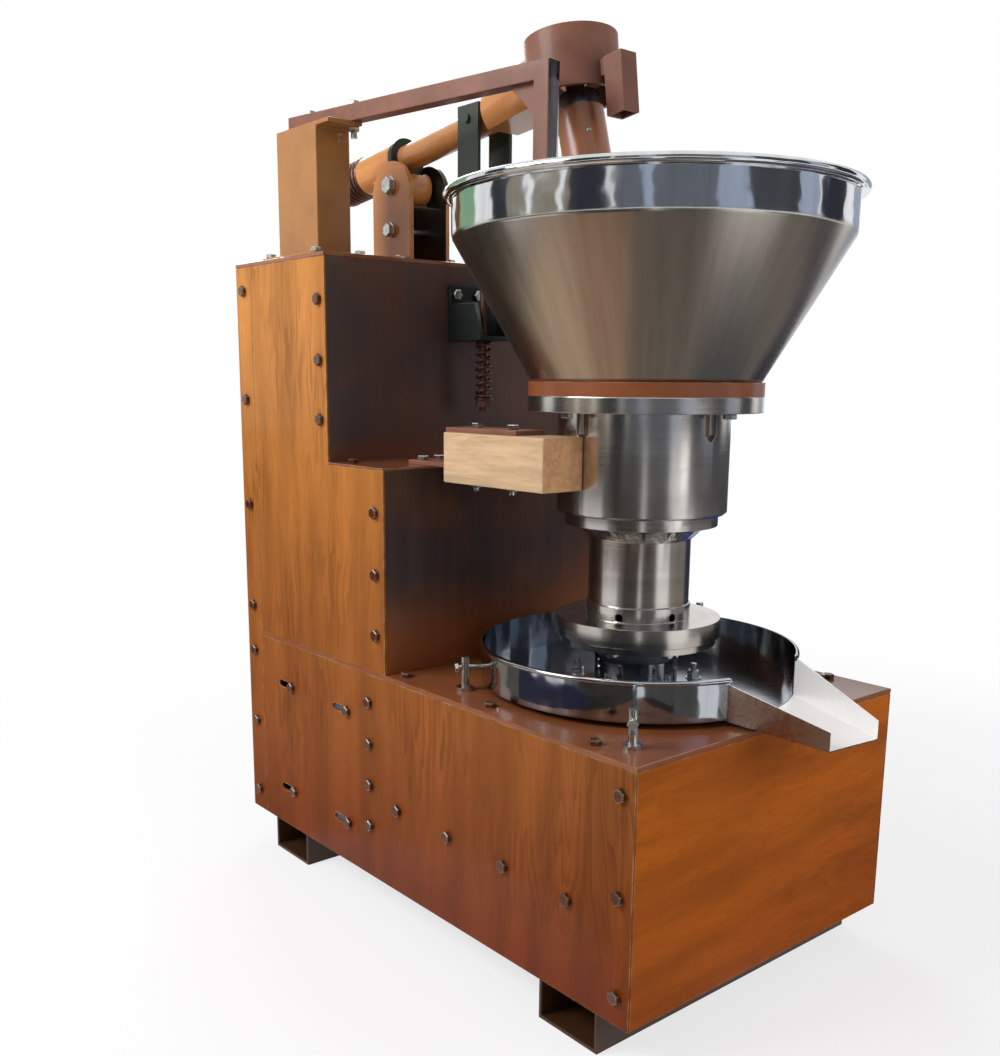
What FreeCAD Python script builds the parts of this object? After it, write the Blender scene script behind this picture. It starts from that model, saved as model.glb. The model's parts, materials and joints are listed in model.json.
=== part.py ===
"""Rotary oil mill: a turning mortar with a hopper, a leaning pestle held by a sprung press arm,
and a stepped steel cabinet that holds the drive. Millimetres, +Z up, front of the machine at -Y."""
import FreeCAD, Part
import math
import os

V = FreeCAD.Vector
UP = V(0, 0, 1)
DOWN = V(0, 0, -1)

# Cabinet
cabinet_width = 640.0
cabinet_length = 1058.0
base_height = 400.0
deck_thickness = 8.0
step_front = 605.0
step_height = 368.0
column_front = 783.0
column_height = 742.0
rear_cover_depth = 60.0
sheet = 4.0
seam = 1.0
floor_plate_thickness = 6.0
foot_height = 65.0
foot_width = 128.0
foot_wall = 6.0
front_foot_start = 60.0
rear_foot_end = 1020.0

# Welded angle frame inside the cabinet
angle_leg = 40.0
angle_thickness = 5.0

# Cabinet bolts
bolt_radius = 6.0
bolt_head_flats = 19.0
bolt_head_height = 8.0
bolt_hole_gap = 0.3
bolt_grip = 18.0
deck_bolt_front = 107.0
deck_bolt_middle = 345.0
deck_bolt_setback = 28.0
washer_radius = 12.0
washer_thickness = 2.5

# Bed plate and bulkhead
bed_height = 105.0
bed_thickness = 8.0
bed_flange_height = 72.0
bed_front = 60.0
bulkhead_front = 632.0
bulkhead_thickness = 6.0
bulkhead_flange = 44.0
bulkhead_bolt_offset = 25.0
coupling_hole_radius = 54.0

# Drive motor, foot mounted on the left side panel
motor_shaft_height = 132.0
motor_axis_height = 193.0
motor_body_radius = 112.0
motor_wall = 12.0
motor_front = 690.0
motor_length = 310.0
motor_foot_pitch_y = 207.0
motor_foot_pitch_z = 223.0
motor_foot_setback = 41.0
motor_foot_margin = 22.0
motor_foot_thickness = 12.0
motor_slot_length = 60.0
rotor_radius = 70.0
motor_shaft_radius = 19.0
motor_shaft_length = 110.0
fan_length = 44.0
terminal_box_size = 96.0
terminal_box_height = 44.0

# Jaw coupling between the motor and the worm
coupling_radius = 45.0
coupling_hub_length = 40.0
coupling_gap = 14.0
jaw_count = 3
jaw_angle = 48.0

# Worm gear
wheel_teeth = 50
worm_pitch_radius = 35.0
worm_turns = 4
worm_shaft_radius = 20.0
wheel_thickness = 50.0
wheel_hub_radius = 55.0
wheel_hub_length = 66.0
flank_angle = 20.0
tooth_side_gap = 0.75

# Gearbox
gearbox_wall = 12.0
gearbox_height = 148.0
gearbox_cover_thickness = 12.0
gearbox_half_length = 152.0
gearbox_tooth_gap = 10.0
gearbox_bolt_radius = 4.0

# Spindle and its bearings
spindle_front = 300.0
spindle_radius = 35.0
running_gap = 0.05
seat_gap = 0.05
bearing_outer_radius = 60.0
bearing_height = 30.0
bearing_boss_wall = 12.0
housing_flange_radius = 150.0
housing_flange_thickness = 10.0
housing_hub_radius = 80.0
housing_hub_depth = 70.0
housing_neck_radius = 66.0
housing_neck_height = 56.0
housing_bolt_circle = 125.0
turntable_height = 80.0
turntable_radius = 134.0
turntable_thickness = 12.0

# Mortar
base_flange_radius = 140.6
base_flange_thickness = 32.0
base_flange_bolt_circle = 115.0
base_flange_bolt_count = 8
neck_radius = 86.0
neck_wall = 14.0
neck_height = 177.0
neck_ring_radius = 129.0
neck_ring_thickness = 20.0
neck_taper_radius = 113.0
neck_taper_height = 24.0
neck_collar_radius = 89.0
neck_collar_height = 24.0
oil_hole_radius = 7.0
oil_hole_count = 6
drum_radius = 143.0
drum_wall = 12.0
drum_height = 167.0
drum_floor = 10.0
drum_chamfer = 4.0
drain_radius = 40.0
drum_flange_radius = 194.0
drum_flange_thickness = 25.5
drum_flange_bolt_circle = 178.0
drum_flange_bolt_count = 4
spanner_pocket_radius = 13.0
spanner_pocket_depth = 34.0
pit_floor_radius = 14.0
pit_corner_radius = 32.0
pit_floor_thickness = 12.0
pit_mouth_radius = 101.0
drain_hole_radius = 4.0

# Hopper
hopper_ring_radius = 194.0
hopper_ring_thickness = 22.5
hopper_bottom_radius = 190.0
hopper_radius = 322.0
hopper_cone_height = 228.0
hopper_band_height = 56.0
hopper_sheet = 3.0
hopper_lip = 14.0
hopper_lip_height = 13.0
hopper_flange_inner_radius = 150.0

# Oil tray and spout
tray_radius = 269.0
tray_height = 66.0
tray_sheet = 2.0
tray_bead = 4.0
tray_collar_height = 40.0
tray_collar_gap = 4.0
spout_root_width = 206.0
spout_lip_width = 107.0
spout_root_front = 75.0
spout_root_side = 22.0
spout_overhang = 130.0
spout_drop = 12.0
spout_lip_height = 30.0
stay_height = 58.0
rear_stay_height = 92.0
stay_side = 262.0
stay_front = 62.0
stay_back = 448.0
rear_stay_side = 285.0
rear_stay_back = 397.0
stay_thickness = 14.0
stay_foot = 30.0
stay_screw_radius = 4.0
stay_screw_height = 40.0

# Press arm, its axis running from the cup down to the tail
pestle_tilt = 15.0
arm_tilt = 7.0
swivel_height = 1500.0
pestle_offset = 8.0
pestle_low_height = 824.0
arm_drop = 15.0
arm_radius = 26.0
arm_wall = 5.0
arm_tail_length = 745.0
cradle_start = 498.0
cradle_length = 122.0
cradle_radius = 40.0
stop_collar_radius = 41.0
stop_collar_length = 12.0
stop_collar_gap = 0.3
tail_spring_length = 84.0
tail_spring_radius = 38.0
tail_spring_wire = 4.0
tail_spring_turns = 6
tail_washer_radius = 42.0
tail_washer_thickness = 6.0
tail_nut_flats = 58.0
tail_nut_height = 24.0

# Arm bracket on the column
bracket_width = 130.0
bracket_plate = 10.0
bracket_outer_half = 50.0
bracket_crown_drop = 18.0
bracket_centre = 960.0
pivot_rise = 160.0
stop_bolt_rise = 74.0
pivot_bolt_radius = 10.0
stop_bolt_radius = 8.0
bracket_base_half = 78.0
bracket_base_thickness = 12.0
bracket_web_height = 134.0
bracket_web_thickness = 12.0
lug_half = 30.0
lug_eye_radius = 32.0
lug_side_gap = 0.5

# Cup on the arm end
cup_radius = 80.0
cup_height = 97.0
cup_wall = 8.0
cup_top = 12.0
cup_boss_radius = 50.0
cup_boss_depth = 66.0
swivel_ball_radius = 34.0
swivel_half_height = 24.0
swivel_gap = 0.3
arm_neck_end = 188.0
arm_neck_wide = 70.0
arm_neck_narrow = 49.0
socket_size = 36.0
socket_wall = 4.0
socket_depth = 38.0
socket_stand = 11.0
socket_pad_width = 28.0
socket_pad_height = 26.0
socket_top = 11.0
socket_bottom = 105.0

# Pestle
pestle_radius = 42.0
pestle_tip_radius = 34.0
pestle_taper_height = 90.0
ferrule_height = 26.0
ferrule_wall = 4.0
ferrule_gap = 14.0
pestle_pin_radius = 16.0

# Yoke and tie rod that pull the arm down
yoke_front_gap = 61.0
yoke_width = 60.0
yoke_plate = 8.0
yoke_side_gap = 8.0
yoke_drop = 165.0
yoke_top = 25.0
yoke_block = 22.0
yoke_pin_radius = 8.0
arm_slide_travel = 12.0
slot_gap = 1.5
tie_rod_radius = 8.0
tie_rod_end = 931.0
rod_bracket_top = 1065.0
rod_bracket_plate = 8.0
rod_bracket_half = 42.0
rod_bracket_height = 62.0
rod_bracket_reach = 40.0
rod_hole_gap = 4.0
rod_spring_radius = 14.0
rod_spring_wire = 2.6
rod_spring_turns = 7
rod_washer_radius = 18.0
rod_washer_thickness = 4.0
rod_nut_flats = 27.0
rod_nut_height = 14.0

# Scraper
post_side = -262.0
post_width = 74.0
post_back = 1042.0
post_depth = 146.0
post_height = 236.0
post_wall = 6.0
post_base_thickness = 10.0
post_base_margin = 24.0
post_cap_thickness = 8.0
post_cap_front = 44.0
scraper_bar = 30.0
scraper_bar_wall = 3.0
scraper_side = -122.0
scraper_back = 420.0
scraper_foot_height = 1022.0
scraper_gusset = 58.0
blade_thickness = 6.0
blade_wall_gap = 4.0
blade_height = 150.0
blade_inner_radius = 118.0
blade_tab = 10.0
blade_tab_width = 28.0

# Guide block against the drum
block_width = 87.0
block_height = 86.0
block_length = 254.0
block_back = 550.0
block_bottom = 809.0
block_drum_gap = 0.5
block_plate = 8.0
block_plate_width = 64.0
block_plate_length = 176.0
block_foot_length = 110.0

# Worked-out levels, above the floor
base_bottom = foot_height
deck_top = foot_height + base_height
deck_bottom = deck_top - deck_thickness
step_top = deck_top + step_height
column_top = deck_top + column_height
pivot_height = column_top + pivot_rise
stop_bolt_height = column_top + stop_bolt_rise
column_plate_bottom = column_top - deck_thickness
step_sheet_bottom = step_top - sheet
inner_floor = base_bottom + floor_plate_thickness
bed_top = base_bottom + bed_height + bed_thickness
motor_z = base_bottom + motor_axis_height
turntable_z = deck_top + turntable_height
base_flange_z = turntable_z + turntable_thickness
neck_z = base_flange_z + base_flange_thickness
drum_z = neck_z + neck_height
drum_flange_z = drum_z + drum_height
hopper_ring_z = drum_flange_z + drum_flange_thickness
hopper_z = hopper_ring_z + hopper_ring_thickness
hopper_band_z = hopper_z + hopper_cone_height
hopper_rim_z = hopper_band_z + hopper_band_height
tray_z = deck_top + housing_flange_thickness
tray_rim_z = tray_z + tray_height
rod_washer_bottom = tie_rod_end + rod_nut_height

# Worked-out places across and along the machine
half_width = cabinet_width / 2
inner_half = half_width - sheet
rear_face = cabinet_length + rear_cover_depth
inner_rear = rear_face - sheet
motor_x = motor_shaft_height - inner_half
wheel_pitch_radius = -motor_x - worm_pitch_radius
gear_module = 2 * wheel_pitch_radius / wheel_teeth
worm_lead = math.pi * gear_module
lead_angle = math.degrees(math.atan(worm_lead / (2 * math.pi * worm_pitch_radius)))
liner_radius = drum_radius - drum_wall - seat_gap
pit_floor_z = drum_z + pit_floor_thickness + drum_floor
yoke_y = column_front - yoke_front_gap

# The arm's own axis: from the swivel point inside the cup towards the tail
tail_direction = V(0, math.cos(math.radians(arm_tilt)), -math.sin(math.radians(arm_tilt)))
arm_normal = V(0, math.sin(math.radians(arm_tilt)), math.cos(math.radians(arm_tilt)))
pestle_direction = V(0, math.sin(math.radians(pestle_tilt)), math.cos(math.radians(pestle_tilt)))
pestle_lean = math.tan(math.radians(pestle_tilt))
swivel_y = spindle_front + pestle_offset + (swivel_height - pestle_low_height) * pestle_lean
swivel = V(0, swivel_y, swivel_height)
arm_start = V(0, swivel_y, swivel_height - arm_drop)
pivot = V(0, bracket_centre, pivot_height)
spindle_base = V(0, spindle_front, 0)
SIDE = V(1, 0, 0)
BACK = V(0, 1, 0)

# The spout's run, from the middle of its root at the tray to the middle of its lip
spout_root = V(spout_root_side, spout_root_front, tray_z)
spout_lip = V(0, -spout_overhang, tray_z - spout_drop)
spout_run = V(spout_lip.x - spout_root.x, spout_lip.y - spout_root.y, 0)
spout_along = spout_run / spout_run.Length
spout_across = V(-spout_along.y, spout_along.x, 0)

# The front-most and rear-most points, which set the middle of the machine
front_reach = -spout_overhang - abs(spout_across.y) * spout_lip_width / 2
rear_reach = swivel_y + arm_tail_length * tail_direction.y + arm_radius * arm_normal.y
middle = V(0, -(front_reach + rear_reach) / 2, 0)


def save(name, *solids):
    """Write one named piece, or one group of like pieces, about the machine's middle."""
    shape = solids[0] if len(solids) == 1 else Part.makeCompound(list(solids))
    moved = shape.copy()
    moved.translate(middle)
    moved.exportStep("parts/" + name + ".step")


def box(x, y, z):
    """A block between pairs of low and high values."""
    return Part.makeBox(x[1] - x[0], y[1] - y[0], z[1] - z[0], V(x[0], y[0], z[0]))


def rod(point, direction, radius, length):
    """A round bar from a point."""
    return Part.makeCylinder(radius, length, point, direction)


def tube(point, direction, outer, inner, length):
    """A round bar with a bore."""
    return rod(point, direction, outer, length).cut(rod(point, direction, inner, length))


def outline(start, *steps):
    """Closed wire in the XZ plane; a step is a point, or a pair of points for an arc through them."""
    edges = []
    here = V(start[0], 0, start[1])
    for step in steps + (start,):
        if isinstance(step[0], tuple):
            through = V(step[0][0], 0, step[0][1])
            there = V(step[1][0], 0, step[1][1])
            edges.append(Part.Arc(here, through, there).toShape())
        else:
            there = V(step[0], 0, step[1])
            edges.append(Part.LineSegment(here, there).toShape())
        here = there
    return Part.Wire(edges)


def turned(start, *steps):
    """A solid of revolution about the spindle, from its outline of radius and height."""
    solid = Part.Face(outline(start, *steps)).revolve(V(0, 0, 0), UP, 360)
    solid.translate(spindle_base)
    return solid


def plate(points, thickness_vector):
    """A flat plate from its corner points, thickened along a vector."""
    wire = Part.makePolygon(points + points[:1])
    return Part.Face(wire).extrude(thickness_vector)


def hex_prism(point, direction, flats, height):
    """A hexagonal head or nut from its seat."""
    radius = flats / math.sqrt(3)
    corners = [V(radius * math.cos(a), radius * math.sin(a), 0)
               for a in [math.radians(60 * i) for i in range(6)]]
    prism = plate(corners, V(0, 0, height))
    prism.Placement = FreeCAD.Placement(point, FreeCAD.Rotation(UP, direction))
    return prism


def bolt(seat, outward, grip, radius=bolt_radius, flats=bolt_head_flats, head=bolt_head_height):
    """A hex bolt: its head stands outward of the seat, its shank goes in."""
    return hex_prism(seat, outward, flats, head).fuse(rod(seat, outward * -1, radius, grip))


def bolt_hole(seat, outward, grip, radius=bolt_radius):
    """The clearance hole for a bolt, running a little past its end."""
    start = seat + outward * washer_thickness
    return rod(start, outward * -1, radius + bolt_hole_gap, grip + 2 * washer_thickness)


def nut(seat, outward, flats=bolt_head_flats, height=bolt_head_height):
    """A hex nut on its seat."""
    return hex_prism(seat, outward, flats, height)


def fused(solids):
    """Several overlapping solids welded into one."""
    first = solids[0]
    return first.multiFuse(solids[1:]).removeSplitter() if len(solids) > 1 else first


def less(solid, cutters):
    """A solid with a list of shapes cut away."""
    return solid.cut(Part.makeCompound(cutters)) if cutters else solid


def spread(first, last, count):
    """Even places from the first to the last."""
    pitch = (last - first) / (count - 1)
    return [first + pitch * i for i in range(count)]


def around(circle, count, start_angle, z):
    """Even places on a circle about the spindle."""
    places = []
    for i in range(count):
        turn = math.radians(start_angle + 360.0 * i / count)
        places.append(V(circle * math.cos(turn), spindle_front + circle * math.sin(turn), z))
    return places


def hollow_bar(corner, size, wall, length_vector, across, upward):
    """A square tube from one corner, given its two side directions."""
    def square(inset):
        start = corner + across * inset + upward * inset
        side = size - 2 * inset
        return plate([start, start + across * side, start + across * side + upward * side,
                      start + upward * side], length_vector)
    return square(0).cut(square(wall))


def cabinet_bolt_places():
    """The (y, z) places of the side bolts, by the piece that they hold."""
    rear_row = (cabinet_length + inner_rear) / 2 + seam
    upper_rear = [(rear_row, z) for z in spread(deck_top + 52, column_top - 53, 4)]
    lower_rear = [(rear_row, z) for z in spread(base_bottom + 45, deck_top - 45, 3)]
    column_row = column_front + sheet + angle_leg / 2 - 4
    step_row = step_front + sheet + angle_leg / 2
    upper = [(column_row, z) for z in spread(step_top + 77, column_top - 82, 3)]
    upper += [(step_row, z) for z in spread(deck_top + 69, step_top - 79, 3)]
    front_row = sheet + angle_leg / 2 + 2
    bed_row = bed_top + bed_flange_height * 0.62
    bulkhead_row = bulkhead_front + bulkhead_bolt_offset
    lower = [(front_row, z) for z in spread(base_bottom + 46, deck_top - 47, 3)]
    lower += [(y, bed_row) for y in spread(130, bulkhead_front - 64, 4)]
    lower += [(bulkhead_row, z) for z in spread(base_bottom + 101, deck_top - 61, 4)]
    return {"cover": upper_rear + lower_rear, "upper": upper, "lower": lower}


def motor_bolt_places():
    """The (y, z) places of the four motor bolts in the left panel's slots."""
    front = motor_front + motor_foot_setback
    return [(y, motor_z + side * motor_foot_pitch_z / 2)
            for y in (front, front + motor_foot_pitch_y) for side in (-1, 1)]


def deck_bolt_places():
    """The bolts that hold the deck plate to the frame, and the step sheet to its rails."""
    across = inner_half - angle_leg / 2 - 4
    places = [V(side * across, y, deck_top) for side in (-1, 1) for y in (deck_bolt_front, deck_bolt_middle,
                                                                      step_front - deck_bolt_setback)]
    step_y = (step_front + column_front) / 2 + 46
    places += [V(side * across, step_y, step_top) for side in (-1, 1)]
    return places


def side_seat(side, place):
    """The point on a side panel's face at a (y, z) place."""
    return V(side * half_width, place[0], place[1])


def side_holes(side, names):
    """Clearance holes through one side of the cabinet."""
    places = cabinet_bolt_places()
    return [bolt_hole(side_seat(side, p), SIDE * side, bolt_grip) for name in names for p in places[name]]


def angle(corner, leg_a, leg_b, length_vector):
    """A length of rolled angle with its heel at a corner."""
    t = angle_thickness
    points = [corner, corner + leg_a * angle_leg, corner + leg_a * angle_leg + leg_b * t,
              corner + leg_a * t + leg_b * t, corner + leg_a * t + leg_b * angle_leg,
              corner + leg_b * angle_leg]
    return plate(points, length_vector)


def make_foot_channels():
    """Two rolled channels across the machine, open upwards, under the floor plate."""
    channels = []
    for start in (front_foot_start, rear_foot_end - foot_width):
        whole = box((-half_width, half_width), (start, start + foot_width), (0, foot_height))
        inside = box((-half_width, half_width), (start + foot_wall, start + foot_width - foot_wall),
                     (foot_wall, foot_height))
        channels.append(whole.cut(inside))
    save("foot_channels", *channels)


def make_frame():
    """The welded frame: posts, the rails between them and the cross rails."""
    members = []
    front = sheet
    step = step_front + sheet
    column = column_front + sheet
    behind = inner_rear
    for side in (-1, 1):
        inward = SIDE * -side
        x = side * inner_half
        for y, forward, low, high in ((front, BACK, inner_floor, deck_bottom),
                                      (step, BACK, deck_top, step_sheet_bottom),
                                      (column, BACK, deck_top, column_plate_bottom),
                                      (behind, BACK * -1, inner_floor, column_plate_bottom)):
            members.append(angle(V(x, y, low), inward, forward, V(0, 0, high - low)))
        for start, z, upright in ((front, deck_bottom, DOWN), (step, step_sheet_bottom, DOWN),
                                  (column, column_plate_bottom, DOWN), (front, inner_floor, UP)):
            stop = column if z == step_sheet_bottom else behind
            members.append(angle(V(x, start, z), inward, upright, V(0, stop - start, 0)))
    for y, forward, z, upright in ((front, BACK, deck_bottom, DOWN), (front, BACK, inner_floor, UP),
                                   (step, BACK, step_sheet_bottom, DOWN),
                                   (column, BACK, column_plate_bottom, DOWN),
                                   (behind, BACK * -1, column_plate_bottom, DOWN),
                                   (behind, BACK * -1, inner_floor, UP)):
        members.append(angle(V(-inner_half, y, z), forward, upright, V(2 * inner_half, 0, 0)))
    holes = side_holes(-1, ("cover", "upper", "lower")) + side_holes(1, ("cover", "upper", "lower"))
    holes += [bolt_hole(place, UP, bolt_grip) for place in deck_bolt_places() + block_foot_bolt_places()]
    save("frame", less(fused(members), holes))


def make_floor_plate():
    """The plate under the cabinet, resting on the foot channels."""
    save("floor_plate", box((-inner_half, inner_half), (sheet, inner_rear), (base_bottom, inner_floor)))


def make_side_panels():
    """The lower rectangle and the stepped upper sheet on each side."""
    slots = []
    for y, z in motor_bolt_places():
        radius = bolt_radius + 1
        face = -half_width - sheet
        slots.append(rod(V(face, y, z), SIDE, radius, 3 * sheet))
        slots.append(rod(V(face, y + motor_slot_length - 2 * radius, z), SIDE, radius, 3 * sheet))
        slots.append(box((face, face + 3 * sheet), (y, y + motor_slot_length - 2 * radius),
                         (z - radius, z + radius)))
    for side, name in ((-1, "left"), (1, "right")):
        x = (min(side * inner_half, side * half_width), max(side * inner_half, side * half_width))
        lower = box(x, (0, cabinet_length), (base_bottom, deck_bottom))
        cuts = side_holes(side, ("lower",)) + (slots if side == -1 else [])
        save("side_panel_" + name + "_lower", less(lower, cuts))
        corners = [(step_front, deck_top), (cabinet_length, deck_top),
                   (cabinet_length, column_plate_bottom), (column_front, column_plate_bottom),
                   (column_front, step_sheet_bottom), (step_front, step_sheet_bottom)]
        upper = plate([V(x[0], y, z) for y, z in corners], SIDE * sheet)
        save("side_panel_" + name + "_upper", less(upper, side_holes(side, ("upper",))))


def make_front_panels():
    """The front sheet of the base, and the upright sheets of the step and the column."""
    save("front_panel", box((-inner_half, inner_half), (0, sheet), (base_bottom, deck_bottom)))
    save("step_front_panel",
         box((-inner_half, inner_half), (step_front, step_front + sheet), (deck_top, step_sheet_bottom)))
    front = box((-inner_half, inner_half), (column_front, column_front + sheet),
                (step_sheet_bottom, column_plate_bottom))
    save("column_front_panel", less(front, [hole for hole in rod_bracket_holes()]))


def make_tops():
    """The deck plate, the step's top sheet and the column's top plate."""
    deck = box((-half_width, half_width), (0, cabinet_length), (deck_bottom, deck_top))
    cuts = [rod(V(0, spindle_front, deck_bottom), UP, housing_hub_radius + 1, deck_thickness)]
    cuts += [bolt_hole(p, UP, bolt_grip) for p in deck_bolt_places() if p.z == deck_top]
    cuts += [bolt_hole(p, DOWN, bolt_grip) for p in housing_bolt_places()]
    save("deck_plate", less(deck, cuts))
    step = box((-half_width, half_width), (step_front, column_front), (step_sheet_bottom, step_top))
    cuts = [bolt_hole(p, UP, bolt_grip) for p in deck_bolt_places() if p.z == step_top]
    cuts += [bolt_hole(p, UP, bolt_grip) for p in block_foot_bolt_places()]
    save("step_top_panel", less(step, cuts))
    top = box((-half_width, half_width), (column_front, rear_face), (column_plate_bottom, column_top))
    cuts = [bolt_hole(p, UP, bolt_grip) for p in bracket_bolt_places() + post_bolt_places()]
    save("column_top_plate", less(top, cuts))


def make_rear_cover():
    """A folded pan that closes the back and wraps round both sides."""
    start = cabinet_length + seam
    whole = box((-half_width, half_width), (start, rear_face), (base_bottom, column_plate_bottom))
    inside = box((-inner_half, inner_half), (start, inner_rear), (base_bottom, column_plate_bottom))
    holes = side_holes(-1, ("cover",)) + side_holes(1, ("cover",))
    save("rear_cover", less(whole.cut(inside), holes))


def rail_envelopes(y_low, y_high):
    """The space of the side rails, which the bulkhead is notched around."""
    reach = angle_leg + seam
    notches = []
    for side in (-1, 1):
        x = sorted((side * (inner_half - reach), side * (inner_half + seam)))
        notches.append(box(x, (y_low, y_high), (deck_bottom - reach, deck_bottom + seam)))
        notches.append(box(x, (y_low, y_high), (inner_floor - seam, inner_floor + reach)))
    return notches


def make_bulkhead():
    """The cross wall between the gearbox and the motor, flanged to both side panels."""
    back = bulkhead_front + bulkhead_thickness
    wall = box((-inner_half, inner_half), (bulkhead_front, back), (inner_floor, deck_bottom))
    low = inner_floor + angle_leg + 2 * seam
    high = deck_bottom - angle_leg - 2 * seam
    pieces = [wall.cut(Part.makeCompound(rail_envelopes(bulkhead_front - seam, back + seam)))]
    for side in (-1, 1):
        x = sorted((side * inner_half, side * (inner_half - angle_thickness)))
        pieces.append(box(x, (back - seam, bulkhead_front + bulkhead_flange), (low, high)))
    cuts = side_holes(-1, ("lower",)) + side_holes(1, ("lower",))
    cuts.append(rod(V(motor_x, bulkhead_front - seam, motor_z), BACK, coupling_hole_radius,
                    bulkhead_thickness + 2 * seam))
    save("bulkhead", less(fused(pieces), cuts))


def make_bed_plate():
    """The shelf under the gearbox, with side flanges turned up and bolted to the panels."""
    y = (bed_front, bulkhead_front - 6)
    low = bed_top - bed_thickness
    pieces = [box((-inner_half, inner_half), y, (low, bed_top))]
    for side in (-1, 1):
        x = sorted((side * inner_half, side * (inner_half - bed_thickness)))
        pieces.append(box(x, y, (low, bed_top + bed_flange_height)))
    cuts = side_holes(-1, ("lower",)) + side_holes(1, ("lower",))
    save("bed_plate", less(fused(pieces), cuts))


def housing_bolt_places():
    """Six bolts up through the deck plate into the spindle housing's flange."""
    return around(housing_bolt_circle, 6, 30, deck_bottom)


def gearbox_bolt_places():
    """The bolts on the gearbox cover."""
    top = bed_top + gearbox_height + gearbox_cover_thickness
    ring = gearbox_radius() - gearbox_wall / 2
    places = []
    for turn in (-70, -24, 24, 70):
        a = math.radians(turn)
        places.append(V(ring * math.cos(a), spindle_front + ring * math.sin(a), top))
    corner_x = gearbox_side() + gearbox_wall / 2
    corner_y = gearbox_half_length - gearbox_wall / 2
    places += [V(corner_x, spindle_front + side * corner_y, top) for side in (-1, 1)]
    return places


def gearbox_radius():
    """The outside radius of the gearbox about the spindle."""
    return wheel_pitch_radius + gear_module + gearbox_tooth_gap + gearbox_wall


def gearbox_side():
    """The x of the gearbox's face beyond the worm."""
    return motor_x - worm_pitch_radius - gear_module - gearbox_tooth_gap - gearbox_wall


def gearbox_block(inset, low, high):
    """The gearbox outline, a drum about the wheel joined to a box along the worm."""
    drum = rod(V(0, spindle_front, low), UP, gearbox_radius() - inset, high - low)
    side = gearbox_side() + inset
    half = gearbox_half_length - inset
    tunnel = box((side, motor_x / 3), (spindle_front - half, spindle_front + half), (low, high))
    return fused([drum, tunnel])


def make_gearbox():
    """The housing with its bearing boss and worm bores, and the cover on it."""
    low = bed_top
    high = bed_top + gearbox_height
    floor = low + gearbox_wall
    shell = gearbox_block(0, low, high).cut(gearbox_block(gearbox_wall, floor, high))
    boss = tube(V(0, spindle_front, floor - seam), UP, bearing_outer_radius + bearing_boss_wall,
                bearing_outer_radius + seat_gap, bearing_height * 0.8 + seam)
    start = V(motor_x, spindle_front - gearbox_half_length - seam, motor_z)
    bore = rod(start, BACK, worm_shaft_radius + running_gap, 2 * gearbox_half_length + 2 * seam)
    blind = spindle_front - gearbox_half_length
    plug = box((motor_x - 30, motor_x + 30), (blind, blind + gearbox_wall / 2), (motor_z - 30, motor_z + 30))
    cuts = [bolt_hole(p, UP, bolt_grip, gearbox_bolt_radius) for p in gearbox_bolt_places()]
    body = fused([shell, boss]).cut(bore.cut(plug))
    save("gearbox_housing", less(body, cuts))
    cover = gearbox_block(0, high, high + gearbox_cover_thickness)
    cuts.append(rod(V(0, spindle_front, high), UP, spindle_radius + 0.3, gearbox_cover_thickness))
    save("gearbox_cover", less(cover, cuts))


def make_cabinet_bolts():
    """Every hex bolt of the cabinet and the drive, as separate solids."""
    bolts = []
    places = cabinet_bolt_places()
    for side in (-1, 1):
        for name in ("cover", "upper", "lower"):
            for place in places[name]:
                bolts.append(bolt(side_seat(side, place), SIDE * side, bolt_grip))
    for place in motor_bolt_places():
        bolts.append(bolt(side_seat(-1, place), SIDE * -1, bolt_grip))
    for place in deck_bolt_places():
        bolts.append(bolt(place, UP, bolt_grip))
    for place in housing_bolt_places():
        bolts.append(bolt(place, DOWN, bolt_grip - 2))
    for place in gearbox_bolt_places():
        bolts.append(bolt(place, UP, bolt_grip, gearbox_bolt_radius, 13, 5.5))
    save("cabinet_bolts", *bolts)


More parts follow.
